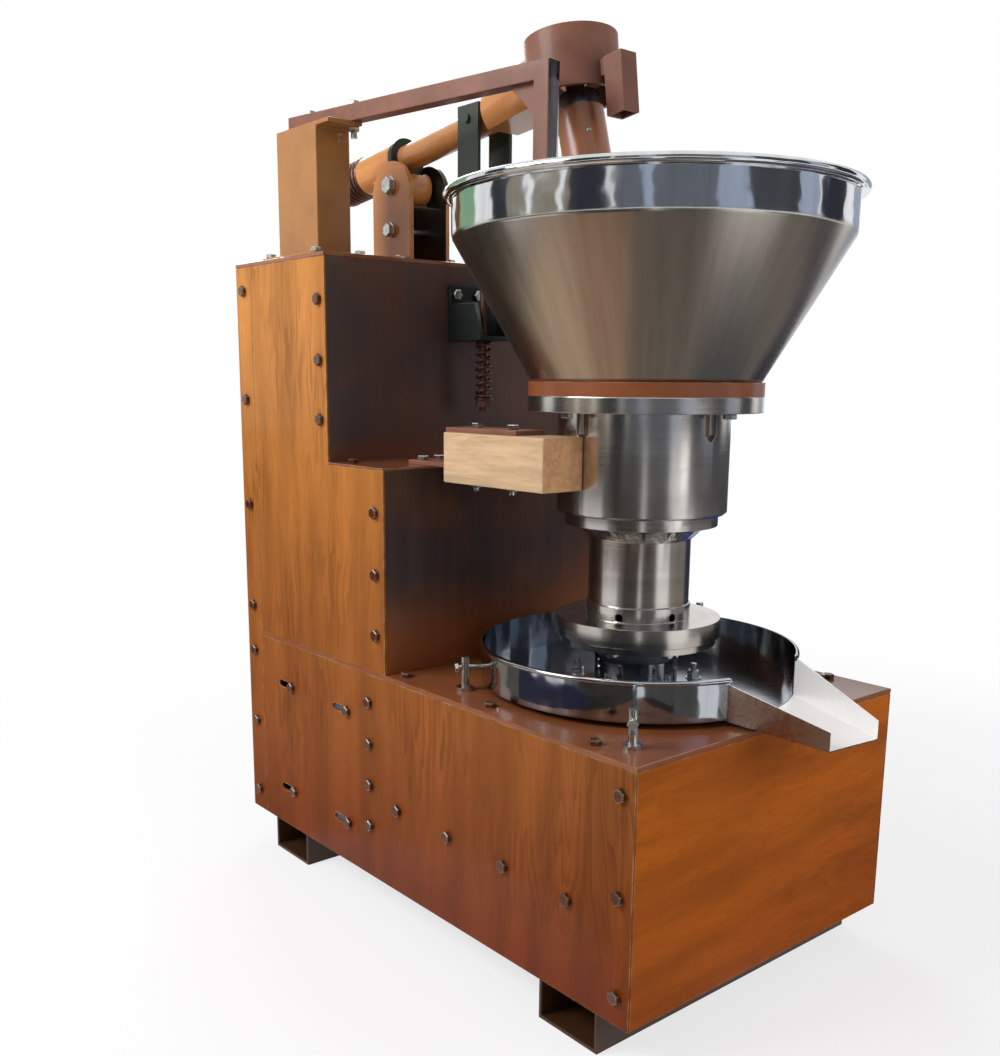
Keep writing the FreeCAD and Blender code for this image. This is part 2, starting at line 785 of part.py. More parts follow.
def make_motor():
    """The foot-mounted motor: its housing with feet, terminal box and cowl, and its rotor."""
    axis = V(motor_x, motor_front, motor_z)
    end = motor_front + motor_length
    body = rod(axis, BACK, motor_body_radius, motor_length + fan_length)
    first_bolt = motor_front + motor_foot_setback
    foot_y = (first_bolt - motor_foot_margin, first_bolt + motor_foot_pitch_y + motor_foot_margin)
    foot_half = motor_foot_pitch_z / 2 + motor_foot_margin
    foot = box((-inner_half, -inner_half + motor_foot_thickness), foot_y,
               (motor_z - foot_half, motor_z + foot_half))
    web = box((-inner_half, motor_x), foot_y, (motor_z - 74, motor_z + 74))
    mid = motor_front + motor_length / 2
    half = terminal_box_size / 2
    terminals = box((motor_x - half, motor_x + half), (mid - half, mid + half),
                    (motor_z + motor_body_radius - 20, motor_z + motor_body_radius + terminal_box_height))
    inside = rod(V(motor_x, motor_front + motor_wall, motor_z), BACK, motor_body_radius - motor_wall,
                 motor_length - 2 * motor_wall)
    fan_space = rod(V(motor_x, end, motor_z), BACK, motor_body_radius - 4, fan_length - 4)
    stator = tube(V(motor_x, motor_front + 60, motor_z), BACK, motor_body_radius - motor_wall + seam,
                  rotor_radius + 1, motor_length - 120)
    shaft_hole = rod(axis, BACK, motor_shaft_radius + running_gap, motor_length)
    housing = fused([fused([body, foot, web, terminals]).cut(inside).cut(fan_space), stator])
    cuts = [bolt_hole(side_seat(-1, p), SIDE * -1, bolt_grip) for p in motor_bolt_places()]
    save("motor_housing", less(housing, cuts + [shaft_hole]))
    shaft_start = motor_front - motor_shaft_length
    shaft = rod(V(motor_x, shaft_start, motor_z), BACK, motor_shaft_radius,
                motor_shaft_length + motor_length + fan_length / 2)
    core = rod(V(motor_x, motor_front + 60, motor_z), BACK, rotor_radius, motor_length - 120)
    fan_disc = rod(V(motor_x, end + 10, motor_z), BACK, motor_body_radius - 16, 4)
    blades = []
    for i in range(6):
        blade = box((motor_x - 1.5, motor_x + 1.5), (end + 13, end + 32), (motor_z + 17, motor_z + 90))
        blade.rotate(V(motor_x, end, motor_z), BACK, 60 * i)
        blades.append(blade)
    save("motor_rotor", fused([shaft, core, fan_disc] + blades))


def coupling_y():
    """The y of the coupling's middle, at the motor shaft's end."""
    return motor_front - motor_shaft_length - coupling_gap / 2


def jaw_sector(y, inner, outer, angle_from, angle_span, length):
    """A sector of a ring about the motor axis."""
    first = math.radians(angle_from)
    last = math.radians(angle_from + angle_span)
    middle_turn = (first + last) / 2

    def at(radius, turn):
        return V(motor_x + radius * math.cos(turn), y, motor_z + radius * math.sin(turn))
    edges = [Part.Arc(at(outer, first), at(outer, middle_turn), at(outer, last)).toShape(),
             Part.LineSegment(at(outer, last), at(inner, last)).toShape(),
             Part.Arc(at(inner, last), at(inner, middle_turn), at(inner, first)).toShape(),
             Part.LineSegment(at(inner, first), at(outer, first)).toShape()]
    return Part.Face(Part.Wire(edges)).extrude(V(0, length, 0))


def make_coupling():
    """Two hubs with three jaws each, and the rubber spider whose legs lie between the jaws."""
    y = coupling_y()
    half = coupling_gap / 2
    pitch = 360.0 / jaw_count
    jaw_depth = coupling_gap - 1.5
    inner = coupling_radius * 0.45
    front_hub = tube(V(motor_x, y - half - coupling_hub_length, motor_z), BACK, coupling_radius,
                     worm_shaft_radius + seat_gap, coupling_hub_length)
    rear_hub = tube(V(motor_x, y + half, motor_z), BACK, coupling_radius,
                    motor_shaft_radius + seat_gap, coupling_hub_length)
    front_jaws = [jaw_sector(y - half - 1, inner, coupling_radius, pitch * i, jaw_angle, jaw_depth + 1)
                  for i in range(jaw_count)]
    rear_jaws = [jaw_sector(y + half - jaw_depth, inner, coupling_radius, pitch * (i + 0.5), jaw_angle,
                            jaw_depth + 1) for i in range(jaw_count)]
    save("coupling_hubs", fused([front_hub] + front_jaws), fused([rear_hub] + rear_jaws))
    leg_angle = (pitch - 2 * jaw_angle) / 2 - 2
    core = tube(V(motor_x, y - half + 1, motor_z), BACK, inner - 0.5, inner - 7, coupling_gap - 2)
    legs = [jaw_sector(y - half + 1, inner - 1, coupling_radius - 1, jaw_angle + 1 + pitch / 2 * i,
                       leg_angle, coupling_gap - 2) for i in range(2 * jaw_count)]
    save("coupling_spider", fused([core] + legs))


def make_worm():
    """The worm shaft along Y, its right-hand thread swept round it."""
    tip = worm_pitch_radius + gear_module
    root = worm_pitch_radius - 1.25 * gear_module
    sunk = root - 1
    slope = math.tan(math.radians(flank_angle))
    half = worm_lead / 4 - tooth_side_gap
    length = worm_turns * worm_lead
    helix = Part.makeHelix(worm_lead, length, worm_pitch_radius)
    profile = Part.makePolygon([V(sunk, 0, -half - (worm_pitch_radius - sunk) * slope),
                                V(tip, 0, -half + (tip - worm_pitch_radius) * slope),
                                V(tip, 0, half - (tip - worm_pitch_radius) * slope),
                                V(sunk, 0, half + (worm_pitch_radius - sunk) * slope),
                                V(sunk, 0, -half - (worm_pitch_radius - sunk) * slope)])
    thread = Part.Wire(helix).makePipeShell([profile], True, True)
    body = rod(V(0, 0, -worm_lead / 2), UP, root, length + worm_lead)
    worm = body.fuse(thread)
    worm.Placement = FreeCAD.Placement(V(motor_x, spindle_front - length / 2, motor_z),
                                       FreeCAD.Rotation(V(1, 0, 0), -90))
    start = spindle_front - gearbox_half_length + gearbox_wall / 2 + seam
    end = coupling_y() - coupling_gap / 2
    shaft = rod(V(motor_x, start, motor_z), BACK, worm_shaft_radius, end - start)
    save("worm_shaft", worm.fuse(shaft))


def make_worm_wheel():
    """The bronze wheel, its tooth spaces leaned to the worm's lead angle."""
    tip = wheel_pitch_radius + gear_module
    root = wheel_pitch_radius - 1.25 * gear_module
    slope = math.tan(math.radians(flank_angle))
    half = worm_lead / 4 + tooth_side_gap
    low = motor_z - wheel_thickness / 2
    rim = rod(V(0, spindle_front, low), UP, tip, wheel_thickness)
    hub = rod(V(0, spindle_front, motor_z - wheel_hub_length / 2), UP, wheel_hub_radius, wheel_hub_length)
    reach = wheel_thickness
    root_half = half - (wheel_pitch_radius - root) * slope
    tip_half = half + (tip + 2 - wheel_pitch_radius) * slope
    corners = [V(-root, root_half, -reach), V(-root, -root_half, -reach),
               V(-tip - 2, -tip_half, -reach), V(-tip - 2, tip_half, -reach)]
    space = plate(corners, V(0, 0, 2 * reach))
    space.rotate(V(0, 0, 0), SIDE, lead_angle)
    spaces = []
    for i in range(wheel_teeth):
        turned_space = space.copy()
        turned_space.rotate(V(0, 0, 0), UP, 360.0 * i / wheel_teeth)
        turned_space.translate(V(0, spindle_front, motor_z))
        spaces.append(turned_space)
    bore = rod(V(0, spindle_front, 0), UP, spindle_radius + seat_gap, deck_top)
    wheel = fused([less(rim, spaces), hub]).cut(bore)
    windows = around((root + wheel_hub_radius) / 2 - 3, 6, 30, 0)
    save("worm_wheel", less(wheel, [rod(p, UP, 24, deck_top) for p in windows]))


def make_spindle():
    """The upright shaft with its turntable flange, its two bearings and the housing on the deck."""
    floor = bed_top + gearbox_wall
    shaft = rod(V(0, spindle_front, floor + 2), UP, spindle_radius, turntable_z - floor)
    disc = rod(V(0, spindle_front, turntable_z), UP, turntable_radius, turntable_thickness)
    collar = rod(V(0, spindle_front, turntable_z - 14), UP, spindle_radius + 15, 16)
    holes = [bolt_hole(p, DOWN, turntable_thickness) for p in base_flange_bolt_places()]
    save("spindle", less(fused([shaft, disc, collar]), holes))
    inner = spindle_radius + running_gap
    bearings = [tube(V(0, spindle_front, z), UP, bearing_outer_radius, inner, bearing_height)
                for z in (floor, deck_top - housing_hub_depth + 10)]
    save("spindle_bearings", *bearings)
    neck_top = deck_top + housing_flange_thickness + housing_neck_height
    low = deck_top - housing_hub_depth
    seat = low + 10
    bore = spindle_radius + 2
    housing = turned((bore, low), (housing_hub_radius, low), (housing_hub_radius, deck_top),
                     (housing_flange_radius, deck_top), (housing_flange_radius, tray_z),
                     (housing_neck_radius, tray_z), (housing_neck_radius, neck_top), (bore, neck_top),
                     (bore, seat + bearing_height), (bearing_outer_radius + seat_gap, seat + bearing_height),
                     (bearing_outer_radius + seat_gap, seat), (bore, seat))
    holes = [rod(p, UP, bolt_radius + bolt_hole_gap, bolt_grip) for p in housing_bolt_places()]
    save("spindle_housing", less(housing, holes))


def base_flange_bolt_places():
    """The bolts that hold the mortar's base flange on the turntable."""
    return around(base_flange_bolt_circle, base_flange_bolt_count, 22.5, turntable_z)


def drum_flange_bolt_places():
    """The bolts up through the drum flange into the hopper ring."""
    return around(drum_flange_bolt_circle, drum_flange_bolt_count, 0, drum_flange_z)


def make_mortar():
    """The turned steel mortar with its wooden lining."""
    bore = neck_radius - neck_wall
    top = drum_z
    ring_low = drum_z - neck_ring_thickness
    taper_low = ring_low - neck_taper_height
    neck = turned((0, base_flange_z), (base_flange_radius, base_flange_z),
                  (base_flange_radius, neck_z), (neck_collar_radius, neck_z),
                  (neck_collar_radius, neck_z + neck_collar_height),
                  (neck_radius, neck_z + neck_collar_height), (neck_radius, taper_low),
                  (neck_taper_radius, ring_low), (neck_ring_radius, ring_low), (neck_ring_radius, top),
                  (drain_radius, top), (drain_radius, ring_low), (bore, ring_low), (bore, neck_z),
                  (0, neck_z))
    cuts = [bolt_hole(p, DOWN, turntable_thickness + base_flange_thickness * 0.7)
            for p in base_flange_bolt_places()]
    for i in range(oil_hole_count):
        turn = math.radians(22.5 + 360.0 / oil_hole_count * i)
        outward = V(math.cos(turn), math.sin(turn), 0)
        start = V(0, spindle_front, neck_z + oil_hole_radius + 1) + outward * (bore - 10)
        cuts.append(rod(start, outward, oil_hole_radius, neck_wall + 20))
    save("mortar_neck", less(neck, cuts))
    wall_in = drum_radius - drum_wall
    drum = turned((drain_radius, top), (drum_radius - drum_chamfer, top),
                  (drum_radius, top + drum_chamfer), (drum_radius, drum_flange_z),
                  (wall_in, drum_flange_z), (wall_in, top + drum_floor), (drain_radius, top + drum_floor))
    pockets = []
    low = drum_flange_z - spanner_pocket_depth
    for place in around(drum_radius - 2, drum_flange_bolt_count, 0, low):
        pockets.append(rod(place, UP, spanner_pocket_radius, spanner_pocket_depth))
        pockets.append(Part.makeCone(0, spanner_pocket_radius, spanner_pocket_radius,
                                     place - UP * spanner_pocket_radius, UP))
    save("mortar_drum", less(drum, pockets))
    save("mortar_liner", less(liner_shape(), [rod(p, UP, drain_hole_radius, 60)
                                              for p in around(26, 4, 45, top + drum_floor - 1)]))
    flange = tube(V(0, spindle_front, drum_flange_z), UP, drum_flange_radius, wall_in,
                  drum_flange_thickness)
    flange_grip = drum_flange_thickness + hopper_ring_thickness - 6
    holes = [bolt_hole(p, DOWN, flange_grip) for p in drum_flange_bolt_places()]
    save("drum_flange", less(flange, holes))
    ring_top_radius = pit_mouth_radius
    ring_low_radius = pit_radius_at(hopper_ring_z)
    ring = turned((ring_low_radius, hopper_ring_z), (hopper_ring_radius, hopper_ring_z),
                  (hopper_ring_radius, hopper_z), (ring_top_radius, hopper_z))
    save("hopper_ring", less(ring, holes))
    bolts = [bolt(p, DOWN, turntable_thickness + base_flange_thickness * 0.6)
             for p in base_flange_bolt_places()]
    bolts += [bolt(p, DOWN, flange_grip) for p in drum_flange_bolt_places()]
    save("mortar_bolts", *bolts)


def pit_corner_top():
    """The height and radius where the pit's round corner meets its cone."""
    return pit_floor_z + pit_corner_radius, pit_floor_radius + pit_corner_radius


def pit_radius_at(z):
    """The radius of the pit's cone at a height."""
    low_z, low_radius = pit_corner_top()
    return low_radius + (pit_mouth_radius - low_radius) * (z - low_z) / (hopper_z - low_z)


def liner_shape():
    """The wooden lining: a round-bottomed pit that opens as a cone."""
    floor_z = drum_z + drum_floor
    corner_z, corner_radius = pit_corner_top()
    bend = pit_corner_radius * math.sqrt(0.5)
    through = (pit_floor_radius + bend, pit_floor_z + pit_corner_radius - bend)
    return turned((0, floor_z), (liner_radius, floor_z), (liner_radius, hopper_ring_z),
                  (pit_radius_at(hopper_ring_z), hopper_ring_z), (corner_radius, corner_z),
                  (through, (pit_floor_radius, pit_floor_z)), (0, pit_floor_z))


def make_hopper():
    """The spun hopper: bottom flange, cone, upright band and rolled lip."""
    t = hopper_sheet
    slope = math.atan2(hopper_radius - hopper_bottom_radius, hopper_cone_height)
    inset = t / math.cos(slope)
    lip_low = hopper_rim_z - hopper_lip_height / 2
    lip_high = hopper_rim_z + hopper_lip_height / 2
    foot_radius = hopper_bottom_radius + t * math.tan(slope)
    hopper = turned((hopper_flange_inner_radius, hopper_z), (hopper_bottom_radius, hopper_z),
                    (hopper_radius, hopper_band_z), (hopper_radius, lip_low),
                    ((hopper_radius + hopper_lip, hopper_rim_z), (hopper_radius, lip_high)),
                    (hopper_radius - t, lip_high), (hopper_radius - t, hopper_band_z),
                    (foot_radius - inset, hopper_z + t), (hopper_flange_inner_radius, hopper_z + t))
    save("hopper", hopper)


def spout_body(inset, extend):
    """The tapered spout volume, narrowed by an inset and lengthened at both ends."""
    wires = []
    ends = ((spout_root, spout_root_width, tray_height, -extend),
            (spout_lip, spout_lip_width, spout_lip_height, extend))
    for place, width, height, shift in ends:
        centre = place + spout_along * shift + UP * inset
        side = spout_across * (width / 2 - inset)
        up = UP * (height + (extend if inset else 0))
        corners = [centre - side, centre + side, centre + side + up, centre - side + up]
        wires.append(Part.makePolygon(corners + corners[:1]))
    return Part.makeLoft(wires, True, True)


def make_tray():
    """The round oil tray with a central collar, and the spout that leaves its front."""
    t = tray_sheet
    collar_in = housing_neck_radius + tray_collar_gap
    bead_low = tray_rim_z - 2 * tray_bead
    bead_mid = tray_rim_z - tray_bead
    tray = turned((collar_in, tray_z), (tray_radius, tray_z), (tray_radius, bead_low),
                  ((tray_radius + tray_bead, bead_mid), (tray_radius, tray_rim_z)),
                  (tray_radius - t, tray_rim_z), (tray_radius - t, tray_z + t),
                  (collar_in + t, tray_z + t), (collar_in + t, tray_z + tray_collar_height),
                  (collar_in, tray_z + tray_collar_height))
    root_side = spout_across * (spout_root_width / 2 - t)
    lip_side = spout_across * (spout_lip_width / 2 - t)
    level = V(0, 0, t)
    corners = [spout_root - root_side + level, spout_root + root_side + level,
               V(spout_lip.x, spout_lip.y, tray_z) + lip_side + level,
               V(spout_lip.x, spout_lip.y, tray_z) - lip_side + level]
    save("oil_tray", tray.cut(plate(corners, V(0, 0, 2 * tray_height))))
    shell = spout_body(0, 0).cut(spout_body(t, 2 * t))
    below = rod(spindle_base, UP, tray_radius + seat_gap, bead_low)
    above = rod(V(0, spindle_front, bead_low - seat_gap), UP, tray_radius + tray_bead + seat_gap, tray_height)
    save("oil_spout", shell.cut(below).cut(above))


def stay_places():
    """The feet and heights of the three studs that steady the tray."""
    return [(V(-stay_side, stay_back, deck_top), stay_height),
            (V(-stay_side, stay_front, deck_top), stay_height),
            (V(rear_stay_side, rear_stay_back, deck_top), rear_stay_height)]


def make_tray_stays():
    """Upright studs on the deck, each with a screw that points at the tray's wall."""
    stays = []
    for foot, height in stay_places():
        to_axis = V(-foot.x, spindle_front - foot.y, 0)
        distance = to_axis.Length
        inward = to_axis / distance
        base = rod(foot, UP, stay_foot / 2, 6)
        stem = rod(foot, UP, stay_thickness / 2, height)
        level = foot + UP * stay_screw_height
        head = 12
        screw = rod(level - inward * head, inward, stay_screw_radius,
                    distance - tray_radius - 0.3 + head)
        knob = hex_prism(level - inward * (head + 6), inward, 15, 6)
        stays.append(fused([base, stem, screw, knob]))
    save("tray_stays", *stays)


def arm_point(distance):
    """A point on the press arm's axis, measured from under the swivel towards the tail."""
    return arm_start + tail_direction * distance


def coil(start, direction, radius, wire, turns, length):
    """A compression spring with closed flat ends, swept along a helix."""
    free = length - 2 * wire
    helix = Part.makeHelix(free / turns, free, radius)
    corners = [V(radius + wire * math.cos(a), 0, wire * math.sin(a))
               for a in [math.radians(60 * i) for i in range(7)]]
    section = Part.makePolygon(corners)
    spring = Part.Wire(helix).makePipeShell([section], True, True)
    spring.Placement = FreeCAD.Placement(start + direction * wire, FreeCAD.Rotation(UP, direction))
    return spring


def make_arm():
    """The tubular press arm with its stop collar, tail spring, washer and nut."""
    start = cup_radius / 2
    bar = rod(arm_point(start), tail_direction, arm_radius, arm_tail_length - start)
    run = arm_point(arm_neck_end) - swivel
    neck = Part.makeCone(arm_neck_wide, arm_neck_narrow, run.Length, swivel, run / run.Length)
    between = rod(swivel - arm_normal * cup_height / 2, arm_normal, arm_neck_end + arm_neck_wide,
                  cup_height)
    hollow = rod(arm_point(arm_neck_end / 2), tail_direction, arm_radius - arm_wall, arm_tail_length)
    cup_space = rod(swivel - arm_normal * cup_height, arm_normal, cup_radius + seat_gap,
                    2 * cup_height)
    pin = yoke_pin_point()
    wide = yoke_pin_radius + slot_gap
    ends = [rod(pin - SIDE * arm_radius * 2 + tail_direction * d, SIDE, wide, 4 * arm_radius)
            for d in (-1, arm_slide_travel + 1)]
    slot = box((-2 * arm_radius, 2 * arm_radius), (-1, arm_slide_travel + 1), (-wide, wide))
    slot.Placement = FreeCAD.Placement(pin, FreeCAD.Rotation(SIDE, -arm_tilt))
    save("press_arm", less(fused([bar, neck.common(between)]), [hollow, cup_space, slot] + ends))
    collar_start = cradle_start - stop_collar_gap - stop_collar_length
    save("arm_stop_collar", tube(arm_point(collar_start), tail_direction, stop_collar_radius,
                                 arm_radius + seat_gap, stop_collar_length))
    spring_start = cradle_start + cradle_length
    save("tail_spring", coil(arm_point(spring_start + seat_gap), tail_direction, tail_spring_radius,
                             tail_spring_wire, tail_spring_turns, tail_spring_length - 2 * seat_gap))
    washer_start = spring_start + tail_spring_length
    washer = rod(arm_point(washer_start), tail_direction, tail_washer_radius, tail_washer_thickness)
    tail_nut = hex_prism(arm_point(washer_start + tail_washer_thickness), tail_direction,
                         tail_nut_flats, tail_nut_height)
    bore = rod(arm_point(washer_start - 1), tail_direction, arm_radius + seat_gap, arm_tail_length)
    save("tail_nut", fused([washer, tail_nut]).cut(bore))


def make_cradle():
    """The sleeve that the arm slides in, with the lug that hangs on the pivot bolt."""
    sleeve = rod(arm_point(cradle_start), tail_direction, cradle_radius, cradle_length)
    first = arm_point(cradle_start + 4) - arm_normal * (arm_radius + 3)
    second = arm_point(cradle_start + cradle_length * 0.62) - arm_normal * (arm_radius + 3)
    eye = rod(pivot - SIDE * lug_half, SIDE, lug_eye_radius, 2 * lug_half)
    low = V(0, lug_eye_radius * 0.8, -lug_eye_radius * 0.6)
    top_in = V(0, -lug_eye_radius * 0.8, lug_eye_radius * 0.6)
    web = plate([first - SIDE * lug_half, pivot + top_in - SIDE * lug_half, pivot + low - SIDE * lug_half,
                 second - SIDE * lug_half], SIDE * 2 * lug_half)
    bore = rod(arm_point(cradle_start - 1), tail_direction, arm_radius + running_gap, cradle_length + 2)
    pin_hole = rod(pivot - SIDE * 60, SIDE, pivot_bolt_radius + running_gap, 120)
    collar_space = rod(arm_point(cradle_start - 40), tail_direction, stop_collar_radius + 2, 40)
    save("arm_cradle", less(fused([sleeve, eye, web]), [bore, pin_hole, collar_space]))


def bracket_bolt_places():
    """The four bolts that hold the arm bracket on the column."""
    across = bracket_base_half - 14
    along = bracket_width / 2 - 16
    top = column_top + bracket_base_thickness
    return [V(i * across, bracket_centre + j * along, top) for i in (-1, 1) for j in (-1, 1)]


def make_bracket():
    """Two round-topped cheeks on a base plate, joined by a web at the back."""
    half = bracket_width / 2
    base_top = column_top + bracket_base_thickness
    base = box((-bracket_base_half, bracket_base_half), (bracket_centre - half, bracket_centre + half),
               (column_top, base_top))
    cheeks = []
    for x in (-bracket_outer_half, bracket_outer_half - bracket_plate):
        upright = box((x, x + bracket_plate), (bracket_centre - half, bracket_centre + half),
                      (base_top - 1, pivot_height - bracket_crown_drop))
        crown = rod(V(x, bracket_centre, pivot_height - bracket_crown_drop), SIDE, half, bracket_plate)
        cheeks.append(upright.fuse(crown))
    web_x = bracket_outer_half - bracket_plate + 1
    web = box((-web_x, web_x), (bracket_centre + half - bracket_web_thickness, bracket_centre + half),
              (base_top - 1, base_top + bracket_web_height - bracket_base_thickness))
    cuts = [rod(pivot - SIDE * 2 * bracket_outer_half, SIDE, pivot_bolt_radius + seat_gap,
                4 * bracket_outer_half)]
    stop_point = V(-2 * bracket_outer_half, bracket_centre, stop_bolt_height)
    cuts.append(rod(stop_point, SIDE, stop_bolt_radius + seat_gap, 4 * bracket_outer_half))
    cuts += [bolt_hole(p, UP, bolt_grip) for p in bracket_bolt_places()]
    save("arm_bracket", less(fused([base, web] + cheeks), cuts))
    bolts = []
    for z, radius, flats in ((pivot_height, pivot_bolt_radius, 30), (stop_bolt_height, stop_bolt_radius, 24)):
        seat = V(-bracket_outer_half, bracket_centre, z)
        through = 2 * bracket_outer_half
        head = rod(seat, SIDE * -1, flats * 0.62, 3).fuse(hex_prism(seat - SIDE * 3, SIDE * -1, flats, 10))
        shank = rod(seat, SIDE, radius, through)
        end = hex_prism(seat + SIDE * through, SIDE, flats, 14)
        bolts.append(fused([head, shank, end]))
    save("arm_bracket_bolts", *bolts)


def make_cup():
    """The inverted cup on the arm end, its seat for the swivel, and the socket on its front."""
    base = swivel - arm_normal * cup_height / 2
    outer = rod(base, arm_normal, cup_radius, cup_height)
    inner = rod(base, arm_normal, cup_radius - cup_wall, cup_height - cup_top)
    boss = rod(base + arm_normal * (cup_height - cup_boss_depth - cup_top / 2), arm_normal,
               cup_boss_radius, cup_boss_depth)
    forward = tail_direction * -1
    near = swivel + forward * (cup_radius + socket_stand) - arm_normal * socket_bottom

    def upright_box(start, width, depth, height):
        left = start - SIDE * width / 2
        side = SIDE * width
        out = forward * depth
        return plate([left, left + side, left + side + out, left + out], arm_normal * height)
    length = socket_bottom - socket_top
    shell = upright_box(near, socket_size, socket_depth, length)
    hollow = upright_box(near + forward * socket_wall - arm_normal, socket_size - 2 * socket_wall,
                         socket_depth - 2 * socket_wall, length + 1 - socket_wall)
    pad_start = swivel + forward * (cup_radius - cup_wall / 2) - arm_normal * (socket_top + socket_pad_height)
    pad = upright_box(pad_start, socket_pad_width, socket_stand + cup_wall / 2 + socket_wall / 2,
                      socket_pad_height)
    solid = fused([outer.cut(inner), boss, pad, shell.cut(hollow)])
    seat = Part.makeSphere(swivel_ball_radius + swivel_gap, swivel)
    below = rod(swivel - pestle_direction * cup_height, pestle_direction,
                swivel_ball_radius - 6, cup_height)
    save("arm_cup", less(solid, [seat, below]))


def make_pestle():
    """The turned wooden pestle, the steel ferrule with its pin, and the ball that lets it swivel."""
    tip = V(0, spindle_front + pestle_offset, pestle_low_height)
    top_distance = (swivel - tip).Length - swivel_ball_radius - ferrule_gap
    taper = pestle_taper_height
    stem_top = top_distance - ferrule_height
    shape = Part.Face(outline((0, -pestle_tip_radius),
                              ((pestle_tip_radius * math.sqrt(0.5), -pestle_tip_radius * math.sqrt(0.5)),
                               (pestle_tip_radius, 0)),
                              (pestle_radius, taper), (pestle_radius, stem_top), (0, stem_top)))
    stem = shape.revolve(V(0, 0, 0), UP, 360)
    placement = FreeCAD.Placement(tip, FreeCAD.Rotation(UP, pestle_direction))
    stem.Placement = placement
    save("pestle", stem)
    cap = Part.makeCylinder(pestle_radius - ferrule_wall, ferrule_height, V(0, 0, stem_top))
    pin_length = (swivel - tip).Length + swivel_half_height - stem_top
    pin = Part.makeCylinder(pestle_pin_radius, pin_length, V(0, 0, stem_top))
    ferrule = cap.fuse(pin)
    ferrule.Placement = placement
    save("pestle_ferrule", ferrule)
    ball = Part.makeSphere(swivel_ball_radius, swivel)
    band = rod(swivel - pestle_direction * swivel_half_height, pestle_direction, swivel_ball_radius,
               2 * swivel_half_height)
    bore = rod(swivel - pestle_direction * 60, pestle_direction, pestle_pin_radius + running_gap, 120)
    save("cup_swivel", ball.common(band).cut(bore))


def yoke_pin_point():
    """Where the yoke's pin crosses the arm's axis."""
    distance = (yoke_y - swivel_y) / tail_direction.y
    return arm_point(distance)


def rod_bracket_holes():
    """Bolt holes of the tie rod's bracket in the column's front sheet."""
    return [bolt_hole(p, BACK * -1, bolt_grip) for p in rod_bracket_bolt_places()]


def rod_bracket_bolt_places():
    """The two bolts that hold the tie rod's bracket."""
    z = rod_bracket_top + rod_bracket_height + 18
    return [V(side * 26, column_front - rod_bracket_plate, z) for side in (-1, 1)]


def make_yoke():
    """The yoke straps and pin, the tie rod, its spring and the bracket on the column."""
    pin = yoke_pin_point()
    inner = arm_radius + yoke_side_gap
    half = yoke_width / 2
    straps = []
    for x in (-inner - yoke_plate, inner):
        straps.append(box((x, x + yoke_plate), (yoke_y - half, yoke_y + half),
                          (pin.z - yoke_drop, pin.z + yoke_top)))
    block = box((-inner - 1, inner + 1), (yoke_y - half, yoke_y + half),
                (pin.z - yoke_drop, pin.z - yoke_drop + yoke_block))
    pin_half = inner + yoke_plate + 6
    pin_bar = rod(pin - SIDE * pin_half, SIDE, yoke_pin_radius, 2 * pin_half)
    rod_space = rod(V(0, yoke_y, tie_rod_end), UP, tie_rod_radius + seat_gap, pin.z)
    save("yoke", fused(straps + [block, pin_bar]).cut(rod_space.common(block)))
    low = pin.z - yoke_drop
    shaft = rod(V(0, yoke_y, tie_rod_end - 8), UP, tie_rod_radius, low + yoke_block - tie_rod_end + 16)
    top_nut = hex_prism(V(0, yoke_y, low + yoke_block), UP, rod_nut_flats, 8)
    lock_nut = hex_prism(V(0, yoke_y, tie_rod_end), UP, rod_nut_flats, rod_nut_height)
    washer = rod(V(0, yoke_y, rod_washer_bottom), UP, rod_washer_radius, rod_washer_thickness)
    save("tie_rod", fused([shaft, top_nut, lock_nut, washer]))
    spring_low = rod_washer_bottom + rod_washer_thickness
    spring_high = rod_bracket_top - rod_bracket_plate
    save("rod_spring", coil(V(0, yoke_y, spring_low + seat_gap), UP, rod_spring_radius, rod_spring_wire,
                            rod_spring_turns, spring_high - spring_low - 2 * seat_gap))
    shelf = box((-rod_bracket_half, rod_bracket_half), (yoke_y - rod_bracket_reach, column_front),
                (spring_high, rod_bracket_top))
    back = box((-rod_bracket_half, rod_bracket_half), (column_front - rod_bracket_plate, column_front),
               (spring_high, rod_bracket_top + rod_bracket_height + 36))
    gussets = []
    for x in (-rod_bracket_half, rod_bracket_half - rod_bracket_plate):
        gussets.append(plate([V(x, yoke_y - rod_bracket_reach, rod_bracket_top - 1),
                              V(x, column_front - 1, rod_bracket_top - 1),
                              V(x, column_front - 1, rod_bracket_top + rod_bracket_height),
                              V(x, yoke_y - rod_bracket_reach + 14, rod_bracket_top + rod_bracket_height)],
                             SIDE * rod_bracket_plate))
    hole = rod(V(0, yoke_y, spring_high - 1), UP, tie_rod_radius + rod_hole_gap, rod_bracket_plate + 2)
    save("rod_bracket", less(fused([shelf, back] + gussets), [hole] + rod_bracket_holes()))


def post_x():
    """The low and high x of the scraper post."""
    return post_side, post_side + post_width


def post_bolt_places():
    """The four bolts that hold the scraper post on the column."""
    x = post_x()
    y = (post_back - post_depth, post_back)
    out = post_base_margin / 2
    return [V(px, py, column_top + post_base_thickness)
            for px in (x[0] - out, x[1] + out) for py in (y[0] - out, y[1] + out)]


